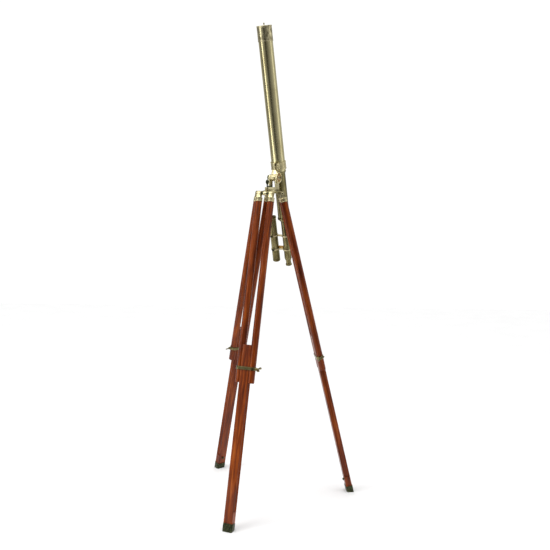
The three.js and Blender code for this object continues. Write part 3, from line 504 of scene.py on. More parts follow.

# %% [markdown]
# ## The sliding legs
# The lower half of each leg is one flat bar with a groove down each edge where the rods nest. It is cut
# from a block, with the grooves taken out by round bars; the arrises are eased by a bevel of about a
# millimetre, which is what gives varnished sticks their thin bright edge lines.

# %% Sliding legs
for leg in LEGS:
    node = f"{leg}_sliding_leg"
    place = leg_place[leg]
    low, high = span(node, place)
    rod_low, rod_high = span(f"{leg}_rod_right", place)
    rod_y, rod_radius = (rod_low.y + rod_high.y) / 2, (rod_high.y - rod_low.y) / 2
    groove_end = span(f"{leg}_foot", place)[1].z + 45 * MM
    grooves = [
        shifted(rod_between(rod_radius + 0.3 * MM, groove_end, high.z + 2 * MM, "Z", 48), y=side * rod_y)
        for side in (1, -1)
    ]
    piece(node, f"{leg}_inner_leg", box_mesh(low, high), place, mahogany, holes=grooves, bevel=1.3 * MM,
          segments=3)
print("pieces so far:", len(made))

# %% [markdown]
# ## Feet and stop pegs
# The foot is a pressed metal shoe, its sole cut level so that it stands flat while the leg leans. It
# is drawn as a solid rounded block, cut by the floor. The peg is a small turned button.

# %% Feet and pegs
for leg in LEGS:
    place = leg_place[leg]
    low, high = span(f"{leg}_foot", place)
    shoe = box_mesh(low, high)
    upright = [edge for edge in shoe.edges if abs((edge.verts[0].co - edge.verts[1].co).z) > 1 * MM]
    bmesh.ops.bevel(shoe, geom=upright, offset=6 * MM, segments=6, affect="EDGES", profile=0.5)
    floor_normal = place.to_3x3().inverted() @ Vector((0, 0, 1))
    floor_point = place.inverted() @ Vector((place.translation.x, place.translation.y, 0.0))
    cut = bmesh.ops.bisect_plane(shoe, geom=shoe.verts[:] + shoe.edges[:] + shoe.faces[:],
                                 plane_co=floor_point, plane_no=floor_normal, clear_inner=True)
    rim = [item for item in cut["geom_cut"] if isinstance(item, bmesh.types.BMEdge)]
    bmesh.ops.contextual_create(shoe, geom=rim)
    bmesh.ops.recalc_face_normals(shoe, faces=shoe.faces)
    leg_low, leg_high = span(f"{leg}_sliding_leg", place)
    pocket = box_mesh(leg_low - Vector((0.2, 0.2, 0.2)) * MM,
                      Vector((leg_high.x, leg_high.y, high.z + 5 * MM)) + Vector((0.2, 0.2, 0)) * MM)
    piece(f"{leg}_foot", f"{leg}_inner_leg", shoe, place, bronze, holes=[pocket], bevel=1.2 * MM, segments=3)
    low, high = span(f"{leg}_stop_peg", place)
    radius, centre = (high.y - low.y) / 2, (low.z + high.z) / 2
    peg = [(0, low.x), (radius * 0.6, low.x), (radius, low.x + 1.5 * MM), (radius, high.x), (0, high.x)]
    peg_mesh = shifted(spun(peg, 32), z=centre, turn=(90, "Y"))
    piece(f"{leg}_stop_peg", f"{leg}_inner_leg", peg_mesh, place, bronze)
print("pieces so far:", len(made))

# %% [markdown]
# ## Clamp straps and wing screws
# A strap of brass 13 mm wide is bent round both rods. At one end it carries a threaded boss, and a wing
# screw runs through the boss to press on the rod, which grips the sliding leg between them. The strap's
# outline is two half circles joined by straight runs. The wings are two rounded lobes.

# %% Straps
def standing(outline, low, high):
    """A mesh of an X-Y outline between two heights."""
    mesh = bmesh.new()
    face = mesh.faces.new([mesh.verts.new((x, y, low)) for x, y in outline])
    grown = bmesh.ops.extrude_face_region(mesh, geom=[face])
    raised = [v for v in grown["geom"] if isinstance(v, bmesh.types.BMVert)]
    bmesh.ops.translate(mesh, verts=raised, vec=(0, 0, high - low))
    bmesh.ops.recalc_face_normals(mesh, faces=mesh.faces)
    return mesh


def loop(radius, half):
    """A round-ended loop in the X-Y plane."""
    return arc(0, half, radius, 0, 180, 20) + arc(0, -half, radius, 180, 360, 20)


clamp_place, rod_reach = {}, {}
for leg in LEGS:
    back = leg_place[leg].inverted()
    drop = (back @ Vector(joints[f"{leg}_wing_turn"]["pos_m"])).z
    facing = 0 if span(f"{leg}_wing_screw", leg_place[leg])[1].y > 0 else 180
    clamp_place[leg] = place = (leg_place[leg] @ Matrix.Translation((0, 0, drop))
                                @ Matrix.Rotation(math.radians(facing), 4, "Z"))
    low, high = span(f"{leg}_clamp_strap", place)
    rod_low, rod_high = span(f"{leg}_rod_right", leg_place[leg])
    rod_y, rod_reach[leg] = (rod_low.y + rod_high.y) / 2, rod_high.y
    outer = -low.y - rod_y
    inner = outer - 2 * MM
    boss = rod_between(6.4 * MM, rod_y + inner + 1 * MM, high.y)
    holes = [standing(loop(inner, rod_y), low.z - 1 * MM, high.z + 1 * MM),
             rod_between(3.2 * MM, rod_y, high.y + 2 * MM)]
    piece(f"{leg}_clamp_strap", f"{leg}_outer_leg", standing(loop(outer, rod_y), low.z, high.z), place,
          dull_brass, join=[boss], holes=holes, bevel=0.5 * MM)
print("pieces so far:", len(made))

# %% Wing screws
WING_TURNS = {"front": 28, "rear": 40, "side": 24}  # degrees
for leg in LEGS:
    node, place = f"{leg}_wing_screw", clamp_place[leg]
    low, high = span(node, place)
    half = max((place.inverted() @ v.co).xz.length for v in frame["nodes"][node].data.vertices) - 0.3 * MM
    face = span(f"{leg}_clamp_strap", place)[1].y + 0.3 * MM
    root, tip = face + 1 * MM, high.y
    length = tip - root
    hub = [(0, face), (5.5 * MM, face), (5.5 * MM, face + 2 * MM), (4.6 * MM, face + 3 * MM),
           (5.2 * MM, root + 5 * MM), (3.5 * MM, root + 6.2 * MM), (0, root + 6.5 * MM)]
    hub_mesh = shifted(spun(hub, 40, 0.8 * MM), turn=(-90, "X"))
    wing = [(0.5 * MM, 0), (half * 0.45, 0)]
    wing += arc(half * 0.66, length * 0.60, half * 0.36, -60, 150, 14)
    wing += [(half * 0.2, length * 0.45), (0.5 * MM, length * 0.42)]
    wings = [rod_between(3 * MM, low.y, face + 1 * MM)]
    for side in (1, -1):
        flat = slab([(side * x, z) for x, z in wing], 3.9 * MM)
        wings.append(shifted(shifted(flat, turn=(-90, "X")), y=root, turn=(WING_TURNS[leg], "Y")))
    piece(node, node, hub_mesh, place, dull_brass, join=wings, bevel=1.1 * MM, segments=3)
print("pieces so far:", len(made))

# %% [markdown]
# ## The head
# The spider is one casting: a round boss with three lugs that reach out to the hinge pins. The swivel
# bracket turns on it about the king bolt, and carries the fork off to one side so that the tube can hang
# past the legs. Both are built as they would be carved from a pattern: discs and slabs joined, holes cut,
# and a generous bevel all over for the soft edges that casting and buffing leave.

# %% Head spider
low, high = span("head_spider", head_place)
lug_eye, boss_top = -low.z, high.z
boss_radius = 25 * MM
spider = spun([(0, 0), (boss_radius - 2 * MM, 0), (boss_radius, 2 * MM), (boss_radius, boss_top - 4 * MM),
               (boss_radius - 2.5 * MM, boss_top - 2.4 * MM), (boss_radius - 2.5 * MM, boss_top),
               (0, boss_top)], 72)
lugs, pin_holes = [], []
for leg in LEGS:
    hinge = head_place.inverted() @ leg_place[leg].translation
    turn = math.degrees(math.atan2(hinge.y, hinge.x))
    reach = hinge.xy.length
    lug = slab([(0, 0.5 * MM), (boss_radius - 4 * MM, 0.5 * MM)] + arc(reach, 0, lug_eye, -105, 70, 20)
               + [(boss_radius + 2 * MM, boss_top - 3 * MM), (0, boss_top - 3 * MM)], 14 * MM)
    lugs.append(shifted(lug, turn=(turn, "Z")))
    hole = shifted(rod_between(PIN_RADIUS + 0.3 * MM, -9 * MM, 9 * MM), x=reach)
    pin_holes.append(shifted(hole, turn=(turn, "Z")))
pin_holes.append(rod_between(7.25 * MM, boss_top - 14 * MM, boss_top + 2 * MM, "Z"))
piece("head_spider", "head", spider, head_place, cast_brass, join=lugs, holes=pin_holes, bevel=0.9 * MM,
      segments=3)
print("pieces so far:", len(made))

# %% Swivel bracket
low, high = span("swivel_bracket", head_place)
tilt_local = head_place.inverted() @ tilt_origin
fork_x, pivot_z = tilt_local.x, tilt_local.z
arm_radius, arm_out = high.z - pivot_z, high.y
arm_in = arm_out - 5 * MM
plate_top = low.z + 10 * MM
lock_x = -25 * MM
nose_radius = -(low.x - lock_x)
plate_outline = (arc(0, 0, arm_out, 60, 120, 10)
                 + arc(lock_x, 0, nose_radius, 100, 260, 16)
                 + arc(0, 0, arm_out, 240, 300, 10)
                 + [(fork_x - arm_radius, -arm_out), (fork_x + arm_radius - 3 * MM, -arm_out),
                    (fork_x + arm_radius, -arm_out + 3 * MM), (fork_x + arm_radius, arm_out - 3 * MM),
                    (fork_x + arm_radius - 3 * MM, arm_out), (fork_x - arm_radius, arm_out)])
bracket = standing(plate_outline, low.z, plate_top)
arms = []
for side in (1, -1):
    arm = slab([(fork_x - arm_radius, low.z + 1 * MM), (fork_x + arm_radius, low.z + 1 * MM)]
               + arc(fork_x, pivot_z, arm_radius, 0, 180, 28), 5 * MM)
    arms.append(shifted(arm, y=side * (arm_in + arm_out) / 2))
bracket_holes = [
    rod_between(7.25 * MM, low.z - 1 * MM, plate_top + 1 * MM, "Z"),
    shifted(rod_between(3.25 * MM, low.z - 1 * MM, plate_top + 1 * MM, "Z"), x=lock_x),
    shifted(rod_between(5.25 * MM, -arm_out - 5 * MM, arm_out + 5 * MM), x=fork_x, z=pivot_z),
]
piece("swivel_bracket", "swivel", bracket, head_place, cast_brass, join=arms, holes=bracket_holes,
      bevel=0.8 * MM, segments=3)
print("pieces so far:", len(made))

# %% [markdown]
# ## Bolts, knobs and the tilt handwheel
# All of these come off the lathe. The handwheel is a thick disc with a raised rim round a dished face, its
# edge knurled so that fingers hold. Knurling is real geometry here: every other point of the rim is
# pulled in by a third of a millimetre.

# %% Knurling
KNURLS = 144  # points round a knurled rim


def knurled(mesh, radius, low, high, depth):
    """Pulls in every other point of a spun rim between two heights."""
    rim = [v for v in mesh.verts if low <= v.co.z <= high and v.co.xy.length > radius - 0.3 * MM]
    step = 2 * math.pi / KNURLS
    for vertex in rim:
        if round(math.atan2(vertex.co.y, vertex.co.x) / step) % 2:
            vertex.co.x *= 1 - depth / radius
            vertex.co.y *= 1 - depth / radius
    return mesh


low, high = span("tilt_handwheel", tilt_place)
radius, face_out, face_in = high.z, -low.y, -high.y
dish = face_out - 2.5 * MM
wheel = [(5.3 * MM, face_in), (radius - 2 * MM, face_in), (radius, face_in + 1.4 * MM),
         (radius, face_out - 1.4 * MM), (radius - 1.4 * MM, face_out), (radius - 3.2 * MM, face_out),
         (radius - 4.6 * MM, dish), (9 * MM, dish), (8 * MM, dish + 1.2 * MM), (5.3 * MM, dish + 1.2 * MM),
         (5.3 * MM, face_in)]
wheel_mesh = knurled(spun(wheel, KNURLS, 0.5 * MM), radius, face_in + 1.5 * MM, face_out - 1.5 * MM, 0.4 * MM)
stop_hole = shifted(rod_between(1.6 * MM, dish - 2 * MM, dish + 2 * MM, "Z", 24), x=12 * MM)
piece("tilt_handwheel", "tilt_wheel", shifted(wheel_mesh, turn=(90, "X")), tilt_place, cast_brass,
      holes=[shifted(stop_hole, turn=(90, "X"))])
dial = [(5.3 * MM, dish), (radius - 4.4 * MM, dish), (radius - 4.4 * MM, dish + 0.5 * MM),
        (5.3 * MM, dish + 0.5 * MM), (5.3 * MM, dish)]
dial_mesh = shifted(spun(dial, 96, 0.1 * MM), turn=(90, "X"))
stud = shifted(rod_between(3 * MM, dish, dish + 1.6 * MM, "Z", 32), x=12 * MM)
piece("tilt_handwheel", "tilt_wheel", dial_mesh, tilt_place, gold_brass, label="dial")
piece("tilt_handwheel", "tilt_wheel", shifted(stud, turn=(90, "X")), tilt_place, bronze, label="stud")

low, high = span("tilt_bolt", tilt_place)
piece("tilt_bolt", "swivel", rod_between(high.z, low.y, high.y), tilt_place, bronze)
low, high = span("tilt_back_nut", tilt_place)
hexagon = arc(0, 0, high.z, 0, 300, 5)
nut = shifted(standing(hexagon, 0, high.y - low.y), y=low.y, turn=(-90, "X"))
piece("tilt_back_nut", "swivel", nut, tilt_place, bronze,
      holes=[rod_between(5.2 * MM, low.y - 1 * MM, high.y + 1 * MM)], bevel=0.8 * MM)
print("pieces so far:", len(made))

# %% King bolt and pan lock
low, high = span("king_bolt", head_place)
plate_gap = span("swivel_bracket", head_place)[0].z + 10.3 * MM
bolt = [(0, low.z), (7 * MM, low.z), (7 * MM, plate_gap), (11 * MM, plate_gap),
        (11 * MM, plate_gap + 2.6 * MM), (9 * MM, high.z - 1 * MM), (6 * MM, high.z), (0, high.z)]
slot_cut = box_mesh((-12 * MM, -1 * MM, high.z - 1.6 * MM), (12 * MM, 1 * MM, high.z + 1 * MM))
piece("king_bolt", "head", spun(bolt, 48, 0.7 * MM), head_place, bronze, holes=[slot_cut], bevel=0.3 * MM)

lock_place = head_place @ Matrix.Translation((lock_x, 0, 0))
low, high = span("pan_lock_screw", lock_place)
knob = high.x
olive = [(knob * math.sin(math.pi * t / 12), high.z - 10 * MM - 10.5 * MM * math.cos(math.pi * t / 12))
         for t in range(3, 13)]
lever = [(0, low.z), (3 * MM, low.z), (3 * MM, olive[0][1] - 3 * MM), (4.4 * MM, olive[0][1] - 2 * MM),
         (4.4 * MM, olive[0][1] - 0.5 * MM)] + olive[:-1] + [(0, high.z)]
piece("pan_lock_screw", "pan_lock", spun(lever, 48, 0.4 * MM), lock_place, bronze)
print("pieces so far:", len(made))

# %% [markdown]
# ## The tube
# The telescope's body is a train of thin drawn tubes and turned rings, all on one axis. Each gets an
# outline with its wall, so that it is as hollow as the real one, and the rings carry the beads and steps
# that a turner adds to hide a joint and please the eye.

# %% Barrels and rings
def tube_outline(node, place, wall):
    low, high = span(node, place)
    radius = radius_of(node, place)
    return [(radius - wall, low.z), (radius, low.z), (radius, high.z), (radius - wall, high.z),
            (radius - wall, low.z)]


def tube_piece(node, body, outline, material, place=tube_place, sides=96, soft=0.5 * MM):
    return piece(node, body, spun(outline, sides, soft), place, material)


for node, body, wall, material, soft in (("main_barrel", "tube", 1.5, tube_brass, 0.4),
                                         ("tail_tube", "tube", 1.5, dull_brass, 0.3),
                                         ("draw_tube", "draw", 1.2, tube_brass, 0.3)):
    tube_piece(node, body, tube_outline(node, tube_place, wall * MM), material, soft=soft * MM)

low, high = span("lower_barrel", tube_place)
barrel_low = span("main_barrel", tube_place)[0].z
wide = radius_of("main_barrel", tube_place)
narrow = wide - 4 * MM
lower = [(narrow - 1.5 * MM, low.z), (narrow, low.z), (narrow, barrel_low - 11 * MM),
         (narrow + 1.2 * MM, barrel_low - 10 * MM), (narrow + 1.2 * MM, barrel_low - 8.5 * MM),
         (wide - 1 * MM, barrel_low - 5 * MM), (wide, barrel_low - 4 * MM), (wide, barrel_low - 0.3 * MM),
         (wide - 2.2 * MM, barrel_low - 0.3 * MM), (wide - 2.2 * MM, high.z), (narrow - 1.5 * MM, high.z),
         (narrow - 1.5 * MM, low.z)]
tube_piece("lower_barrel", "tube", lower, dull_brass)

low, high = span("barrel_end_ring", tube_place)
ring, tail = radius_of("barrel_end_ring", tube_place), radius_of("tail_tube", tube_place)
lip = span("lower_barrel", tube_place)[0].z - 0.3 * MM
end_ring = [(tail + 0.3 * MM, low.z), (ring - 8 * MM, low.z), (ring - 6.5 * MM, low.z + 1 * MM),
            (ring - 5 * MM, low.z + 4 * MM), (ring - 1 * MM, low.z + 7 * MM), (ring, low.z + 8 * MM),
            (ring, lip - 2.5 * MM), (ring - 0.8 * MM, lip - 2 * MM), (ring - 0.8 * MM, lip),
            (narrow - 2.2 * MM, lip), (narrow - 2.2 * MM, high.z), (tail + 0.3 * MM, high.z),
            (tail + 0.3 * MM, low.z)]
end_mesh = knurled(spun(end_ring, KNURLS, 0.4 * MM), ring, low.z + 8.5 * MM, lip - 2.5 * MM, 0.35 * MM)
piece("barrel_end_ring", "tube", end_mesh, tube_place, dull_brass)
print("pieces so far:", len(made))

# %% Objective cell, retaining ring and dust cap
low, high = span("objective_cell", tube_place)
barrel_top = span("main_barrel", tube_place)[1].z
cell_bore = radius_of("objective_flint_lens", tube_place) + 0.4 * MM
cell = [(cell_bore - 4 * MM, low.z), (wide - 2 * MM, low.z), (wide - 2 * MM, barrel_top + 0.3 * MM),
        (wide, barrel_top + 0.3 * MM), (wide, high.z - 3 * MM), (wide - 0.8 * MM, high.z - 2.4 * MM),
        (wide - 1.2 * MM, high.z), (cell_bore, high.z), (cell_bore, low.z + 4 * MM),
        (cell_bore - 4 * MM, low.z + 4 * MM), (cell_bore - 4 * MM, low.z)]
tube_piece("objective_cell", "tube", cell, tube_brass)

low, high = span("dust_cap", tube_place)
cap = radius_of("dust_cap", tube_place)
bore = wide + 0.45 * MM
roof = high.z - 11 * MM
knob = 3.2 * MM
cap_outline = [(0, roof - 2 * MM), (bore, roof - 2 * MM), (bore, low.z), (cap - 0.1 * MM, low.z),
               (cap, low.z + 0.6 * MM), (cap, low.z + 3.6 * MM), (cap - 0.6 * MM, low.z + 4.4 * MM),
               (cap - 0.6 * MM, roof - 6 * MM), (cap, roof - 5.4 * MM), (cap, roof - 2 * MM),
               (cap - 1.4 * MM, roof - 0.4 * MM), (cap - 4 * MM, roof), (cap - 9 * MM, roof - 0.6 * MM),
               (knob + 2 * MM, roof - 0.3 * MM), (knob + 1 * MM, roof + 0.6 * MM),
               (knob * 0.6, roof + 2 * MM), (knob * 0.55, roof + 3.6 * MM), (knob * 0.9, roof + 5 * MM),
               (knob, roof + 7.4 * MM), (knob * 0.8, high.z - 1 * MM), (0, high.z)]
tube_piece("dust_cap", "cap", cap_outline, cap_brass)
print("pieces so far:", len(made))

# %% [markdown]
# ## Collar, saddle and thumbscrew
# The collar is a split ring with a saddle cast on its side: the saddle's eye takes the tilt bolt, and a
# knurled thumbscrew pulls the ring's two ears together to hold the tube.

# %% Collar
low, high = span("mount_collar", tube_place)
screw_local = tube_place.inverted() @ Vector(joints["collar_screw_turn"]["pos_m"])
ear_turn = math.degrees(math.atan2(screw_local.y, screw_local.x))
screw_reach, screw_z = screw_local.xy.length, screw_local.z
ring_in, ring_top, ring_low = wide + 0.35 * MM, high.z, 26 * MM
ring_out = ring_in + 3.5 * MM
pivot_x = (tube_place.inverted() @ tilt_origin).x
band = [(ring_in - 1 * MM, ring_low), (ring_out - 0.6 * MM, ring_low), (ring_out, ring_low + 1 * MM),
        (ring_out, ring_low + 4 * MM), (ring_out - 0.9 * MM, ring_low + 5 * MM),
        (ring_out - 0.9 * MM, ring_top - 5 * MM), (ring_out, ring_top - 4 * MM),
        (ring_out, ring_top - 1 * MM), (ring_out - 0.6 * MM, ring_top), (ring_in - 1 * MM, ring_top),
        (ring_in - 1 * MM, ring_low)]
ears = shifted(box_mesh((ring_in + 1 * MM, -6.5 * MM, screw_z - 14 * MM),
                        (screw_reach + 6 * MM, 6.5 * MM, screw_z + 14 * MM)), turn=(ear_turn, "Z"))
saddle = slab([(-wide + 6 * MM, ring_low + 4 * MM), (-ring_out - 3 * MM, ring_low + 4 * MM)]
              + arc(pivot_x, 0, 14 * MM, 80, 280, 24) + [(-ring_out, low.z), (-wide + 6 * MM, low.z)],
              26.4 * MM)
slot = shifted(box_mesh((ring_in - 6 * MM, -2.5 * MM, ring_low - 1 * MM),
                        (screw_reach + 20 * MM, 2.5 * MM, ring_top + 1 * MM)), turn=(ear_turn, "Z"))
screw_hole = shifted(shifted(rod_between(3.25 * MM, -9 * MM, 9 * MM), x=screw_reach, z=screw_z),
                     turn=(ear_turn, "Z"))
bolt_hole = shifted(rod_between(5.3 * MM, -20 * MM, 20 * MM), x=pivot_x)
tube_space = rod_between(ring_in, low.z - 2 * MM, ring_top + 2 * MM, "Z", 96)
piece("mount_collar", "tube", spun(band, 96), tube_place, cast_brass, join=[ears, saddle],
      holes=[slot, screw_hole, bolt_hole, tube_space], bevel=0.7 * MM)

screw_place = tube_place @ Matrix.Rotation(math.radians(ear_turn), 4, "Z") @ Matrix.Translation(
    (screw_reach, 0, screw_z)) @ Matrix.Rotation(math.radians(-90), 4, "X")
low, high = span("collar_thumbscrew", screw_place)
near, head = 6.8 * MM, radius_of("collar_thumbscrew", screw_place)
thumb = [(0, low.z), (3 * MM, low.z), (3 * MM, near), (head - 3 * MM, near), (head, near + 1.5 * MM),
         (head, high.z - 1.5 * MM), (head - 1.5 * MM, high.z), (head - 4 * MM, high.z),
         (head - 5 * MM, high.z - 1 * MM), (0, high.z - 1 * MM)]
thumb_mesh = knurled(spun(thumb, KNURLS, 0.4 * MM), head, near + 1.6 * MM, high.z - 1.6 * MM, 0.4 * MM)
piece("collar_thumbscrew", "collar_screw", thumb_mesh, screw_place, cast_brass)
print("pieces so far:", len(made))

# %% [markdown]
# ## Eyepiece, finder and its brackets
# The eyepiece is a waisted turning with a knurled eye cup. The finder is a telescope in small: a tube with
# a flared mouth, a rounded eye end, and two ring brackets that hold it off from the tail tube.

# %% Eyepiece
low, high = span("eyepiece_body", tube_place)
cup = radius_of("eyepiece_body", tube_place)
shoulder = span("draw_tube", tube_place)[0].z - 0.3 * MM
plug = radius_of("draw_tube", tube_place) - 1.7 * MM
eyepiece = [(5 * MM, low.z + 2 * MM), (9 * MM, low.z), (cup - 2 * MM, low.z), (cup, low.z + 2 * MM),
            (cup, low.z + 8 * MM), (cup - 2.2 * MM, low.z + 11 * MM), (cup - 2.2 * MM, shoulder - 7 * MM),
            (cup - 0.6 * MM, shoulder - 5 * MM), (cup, shoulder - 3.5 * MM), (cup, shoulder),
            (plug, shoulder), (plug, high.z), (plug - 2.4 * MM, high.z), (plug - 2.4 * MM, low.z + 5 * MM),
            (5 * MM, low.z + 5 * MM), (5 * MM, low.z + 2 * MM)]
eye_mesh = knurled(spun(eyepiece, KNURLS, 0.4 * MM), cup, low.z + 2.4 * MM, low.z + 7.6 * MM, 0.3 * MM)
piece("eyepiece_body", "draw", eye_mesh, tube_place, dull_brass)

# %% Finder
low, high = span("finder_tube", finder_place)
flare = radius_of("finder_tube", finder_place)
finder_radius = flare - 1.5 * MM
mouth = [(finder_radius - 1.4 * MM, low.z), (finder_radius, low.z), (finder_radius, high.z - 11 * MM),
         (flare - 0.4 * MM, high.z - 9 * MM), (flare, high.z - 8 * MM), (flare, high.z - 1.5 * MM),
         (flare - 1 * MM, high.z), (finder_radius - 1.4 * MM, high.z), (finder_radius - 1.4 * MM, low.z)]
tube_piece("finder_tube", "tube", mouth, dull_brass, finder_place)

low, high = span("finder_eyepiece", finder_place)
eye_end = span("finder_tube", finder_place)[0].z - 0.3 * MM
plug = finder_radius - 1.9 * MM
dome = [(finder_radius * math.sin(math.radians(a)), low.z + 8 * MM - 8 * MM * math.cos(math.radians(a)))
        for a in range(33, 91, 8)]
finder_eye = ([(4 * MM, low.z + 1.5 * MM), (6 * MM, low.z)] + dome
              + [(finder_radius, eye_end), (plug, eye_end), (plug, high.z), (plug - 2 * MM, high.z),
                 (plug - 2 * MM, low.z + 4 * MM), (4 * MM, low.z + 4 * MM), (4 * MM, low.z + 1.5 * MM)])
tube_piece("finder_eyepiece", "finder_eye", finder_eye, dull_brass, finder_place, soft=0.3 * MM)
print("pieces so far:", len(made))

# %% Finder brackets and screws
def band_outline(bore_radius, centre, half):
    """The outline of a solid ring bracket, before its bore is cut."""
    wall = bore_radius + 3.2 * MM
    return [(0, centre - half), (wall - 0.5 * MM, centre - half), (wall, centre - half * 0.6),
            (wall, centre + half * 0.6), (wall - 0.5 * MM, centre + half), (0, centre + half)]


finder_y = (tube_place.inverted() @ finder_place.translation).y
tail = radius_of("tail_tube", tube_place)
for name in ("upper", "lower"):
    node = f"finder_bracket_{name}"
    low, high = span(node, tube_place)
    screw_low, screw_high = span(f"finder_screw_{name}", tube_place)
    centre = (screw_low.z + screw_high.z) / 2
    half = centre - low.z
    tail_ring = spun(band_outline(tail + 0.2 * MM, centre, half))
    finder_ring = shifted(spun(band_outline(finder_radius + 0.2 * MM, centre, half)), y=finder_y)
    bridge = box_mesh((-4 * MM, 10 * MM, centre - half), (4 * MM, finder_y - 10 * MM, centre + half))
    ends = (low.z - 2 * MM, high.z + 2 * MM)
    spaces = [rod_between(tail + 0.25 * MM, *ends, "Z", 72),
              shifted(rod_between(finder_radius + 0.25 * MM, *ends, "Z", 72), y=finder_y),
              shifted(rod_between(2.3 * MM, 5 * MM, 30 * MM, "Z", 24), y=finder_y, z=centre, turn=(-90, "Y"))]
    piece(node, "tube", tail_ring, tube_place, cast_brass, join=[finder_ring, bridge], holes=spaces,
          bevel=0.5 * MM)
    if name == "lower":
        block = box_mesh((-4 * MM, finder_y / 2 - 12 * MM, centre + half),
                         (4 * MM, finder_y / 2 + 12 * MM, high.z))
        piece(node, "tube", block, tube_place, gold_brass, bevel=0.8 * MM, segments=3, label="spacer")
    screw_place = (finder_place @ Matrix.Translation((0, 0, centre))
                   @ Matrix.Rotation(math.radians(-90), 4, "Y"))
    low, high = span(f"finder_screw_{name}", screw_place)
    head = radius_of(f"finder_screw_{name}", screw_place)
    under = high.z - 5 * MM
    screw = [(0, low.z), (2 * MM, low.z), (2 * MM, under), (head, under),
             (head, high.z - 0.8 * MM), (head - 0.8 * MM, high.z), (0, high.z)]
    screw_mesh = knurled(spun(screw, KNURLS, 0.3 * MM), head, under + 0.4 * MM, high.z - 1 * MM, 0.25 * MM)
    piece(f"finder_screw_{name}", f"finder_screw_{name}", screw_mesh, screw_place, bronze)
print("pieces made:", len(made))

# %% [markdown]
# ## What stays from the frame
# The lenses and the retaining ring sit inside the tube, out of sight until the cap comes off. Their
# solids are already the right shape, so they only need their finish.

# %% Finish the pieces that stay
for node, thing in frame["nodes"].items():
    if node + "_fine" not in made:
        thing.data.materials.clear()
        thing.data.materials.append(glass if "lens" in node else tube_brass)
        thing.data.shade_smooth()
        thing.data.set_sharp_from_angle(angle=math.radians(38))
        print("kept:", node)

# %% [markdown]
# ## Studio
# Polished metal shows its surroundings more than its own colour, so the surroundings are designed first.
# The telescope stands on a sheet of white paper against a white sweep. The room behind the camera is dim
# and the walls at the sides are half lit, which gives each tube a deep middle and paler flanks. A tall soft
# box on the left draws the bright band down it. The paper stops short of the camera, so the tube, which
# leans forward, mirrors the dim room there and not the paper.

# %% Paper
axis = Vector(joints["pan"]["pos_m"])
paper_mesh = bmesh.new()
corners = [(axis.x - 3.0, axis.y - 1.7), (axis.x + 4.0, axis.y - 1.7), (axis.x + 4.0, axis.y + 5.0),
           (axis.x - 3.0, axis.y + 5.0)]
paper_mesh.faces.new([paper_mesh.verts.new((x, y, 0)) for x, y in corners])
floor = temporary(paper_mesh, Matrix.Identity(4))
floor.name = floor.data.name = "studio_floor"
sheet, tree, shader = new_material("matt_white_paper")
fibre = add(tree, "ShaderNodeTexNoise", Scale=30.0, Detail=2.0)
feed(tree, shader, Base_Color=ramp(tree, fibre.outputs["Fac"], (0.3, "FAFAFA"), (0.7, "FDFDFD")),
     Roughness=0.9, Specular_IOR_Level=0.1)
floor.data.materials.append(sheet)
print("paper laid:", corners[0], corners[2])

# %% Room
world = bpy.data.worlds.new("studio")
bpy.context.scene.world = world
world.use_nodes = True
tree = world.node_tree
tree.nodes.clear()
direction = add(tree, "ShaderNodeTexCoord").outputs["Generated"]
parts = add(tree, "ShaderNodeSeparateXYZ", Vector=direction)
toward_camera = add(tree, "ShaderNodeMath", {"operation": "MULTIPLY"}, i0=parts.outputs["Y"], i1=-1.0)
bearing = add(tree, "ShaderNodeMath", {"operation": "ARCTAN2"}, i0=parts.outputs["X"],
              i1=toward_camera.outputs[0])
turn = add(tree, "ShaderNodeMath", {"operation": "MULTIPLY_ADD"}, i0=bearing.outputs[0], i1=0.5 / math.pi,
           i2=0.5)
walls = ramp(tree, turn.outputs[0], (0.0, "E0E0E0"), (0.17, "A8A8A8"), (0.24, "808080"), (0.30, "A6A6A6"),
             (0.39, "B4B4B4"), (0.44, "6C6C6C"), (0.485, "363636"), (0.53, "787878"), (0.60, "9C9C9C"),
             (0.68, "C4C4C4"), (0.75, "E2E2E2"), (0.82, "C4C4C4"), (1.0, "E0E0E0"))
height = add(tree, "ShaderNodeMapRange", {"interpolation_type": "SMOOTHSTEP"}, Value=parts.outputs["Z"],
             i1=0.30, i2=0.80, i3=0.0, i4=1.0)
room = add(tree, "ShaderNodeMix", {"data_type": "RGBA"}, i0=height.outputs[0], i6=walls, i7=linear("FFFFFF"))
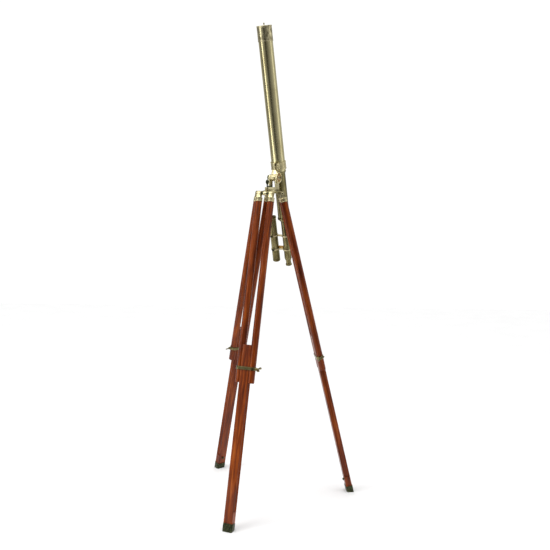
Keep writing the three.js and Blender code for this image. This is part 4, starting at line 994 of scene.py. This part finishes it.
power = add(tree, "ShaderNodeMath", {"operation": "MULTIPLY_ADD"}, i0=height.outputs[0], i1=0.28, i2=1.0)
studio = add(tree, "ShaderNodeBackground", Strength=power.outputs[0], Color=room.outputs[2])
sweep = add(tree, "ShaderNodeBackground", Strength=1.05, Color=linear("FFFFFF"))
seen = add(tree, "ShaderNodeLightPath").outputs["Is Camera Ray"]
mixed = add(tree, "ShaderNodeMixShader", Fac=seen, i1=studio.outputs[0], i2=sweep.outputs[0])
add(tree, "ShaderNodeOutputWorld", Surface=mixed.outputs[0])
bpy.context.scene.view_settings.view_transform = "Standard"
print("room built")


# %% Soft boxes
def soft_box(name, place, target, width, height, power):
    data = bpy.data.lights.new(name, "AREA")
    data.shape, data.size, data.size_y, data.energy = "RECTANGLE", width, height, power
    light = bpy.data.objects.new(name, data)
    bpy.context.scene.collection.objects.link(light)
    light.location = axis + Vector(place)
    light.rotation_euler = (axis + Vector(target) - light.location).to_track_quat("-Z", "Y").to_euler()
    light.visible_camera = False


soft_box("left_box", (-2.3, -0.95, -0.35), (0, 0, 0), 0.6, 2.4, 12)
soft_box("right_box", (2.6, -0.3, 0.1), (0, 0, 0), 0.7, 2.2, 3)
soft_box("top_box", (-1.9, -1.0, 2.2), (0.2, 0.3, -1.35), 1.3, 1.3, 30)
print("lights placed")

# %% [markdown]
# ## Camera
# The camera stands a little over three metres off at about chest height, looking slightly down, with a
# normal lens. Its place is given from the tripod's axis, so it follows if the tripod's size changes.

# %% Camera
hinge_height = leg_place["front"].translation.z
camera_data = bpy.data.cameras.new("camera")
camera_data.sensor_width = 36
camera_data.lens = 47.95
camera_data.dof.use_dof = False
camera = bpy.data.objects.new("camera", camera_data)
bpy.context.scene.collection.objects.link(camera)
bpy.context.scene.camera = camera
camera.location = (axis.x, axis.y - 2.340 * hinge_height, 1.038 * hinge_height)
look = Matrix.Rotation(-0.0083, 4, "Z") @ Matrix.Rotation(math.radians(90 - 7.29), 4, "X") @ Matrix.Rotation(
    0.0141, 4, "Z")
camera.rotation_euler = look.to_euler()
print("camera at", tuple(round(v, 3) for v in camera.location))
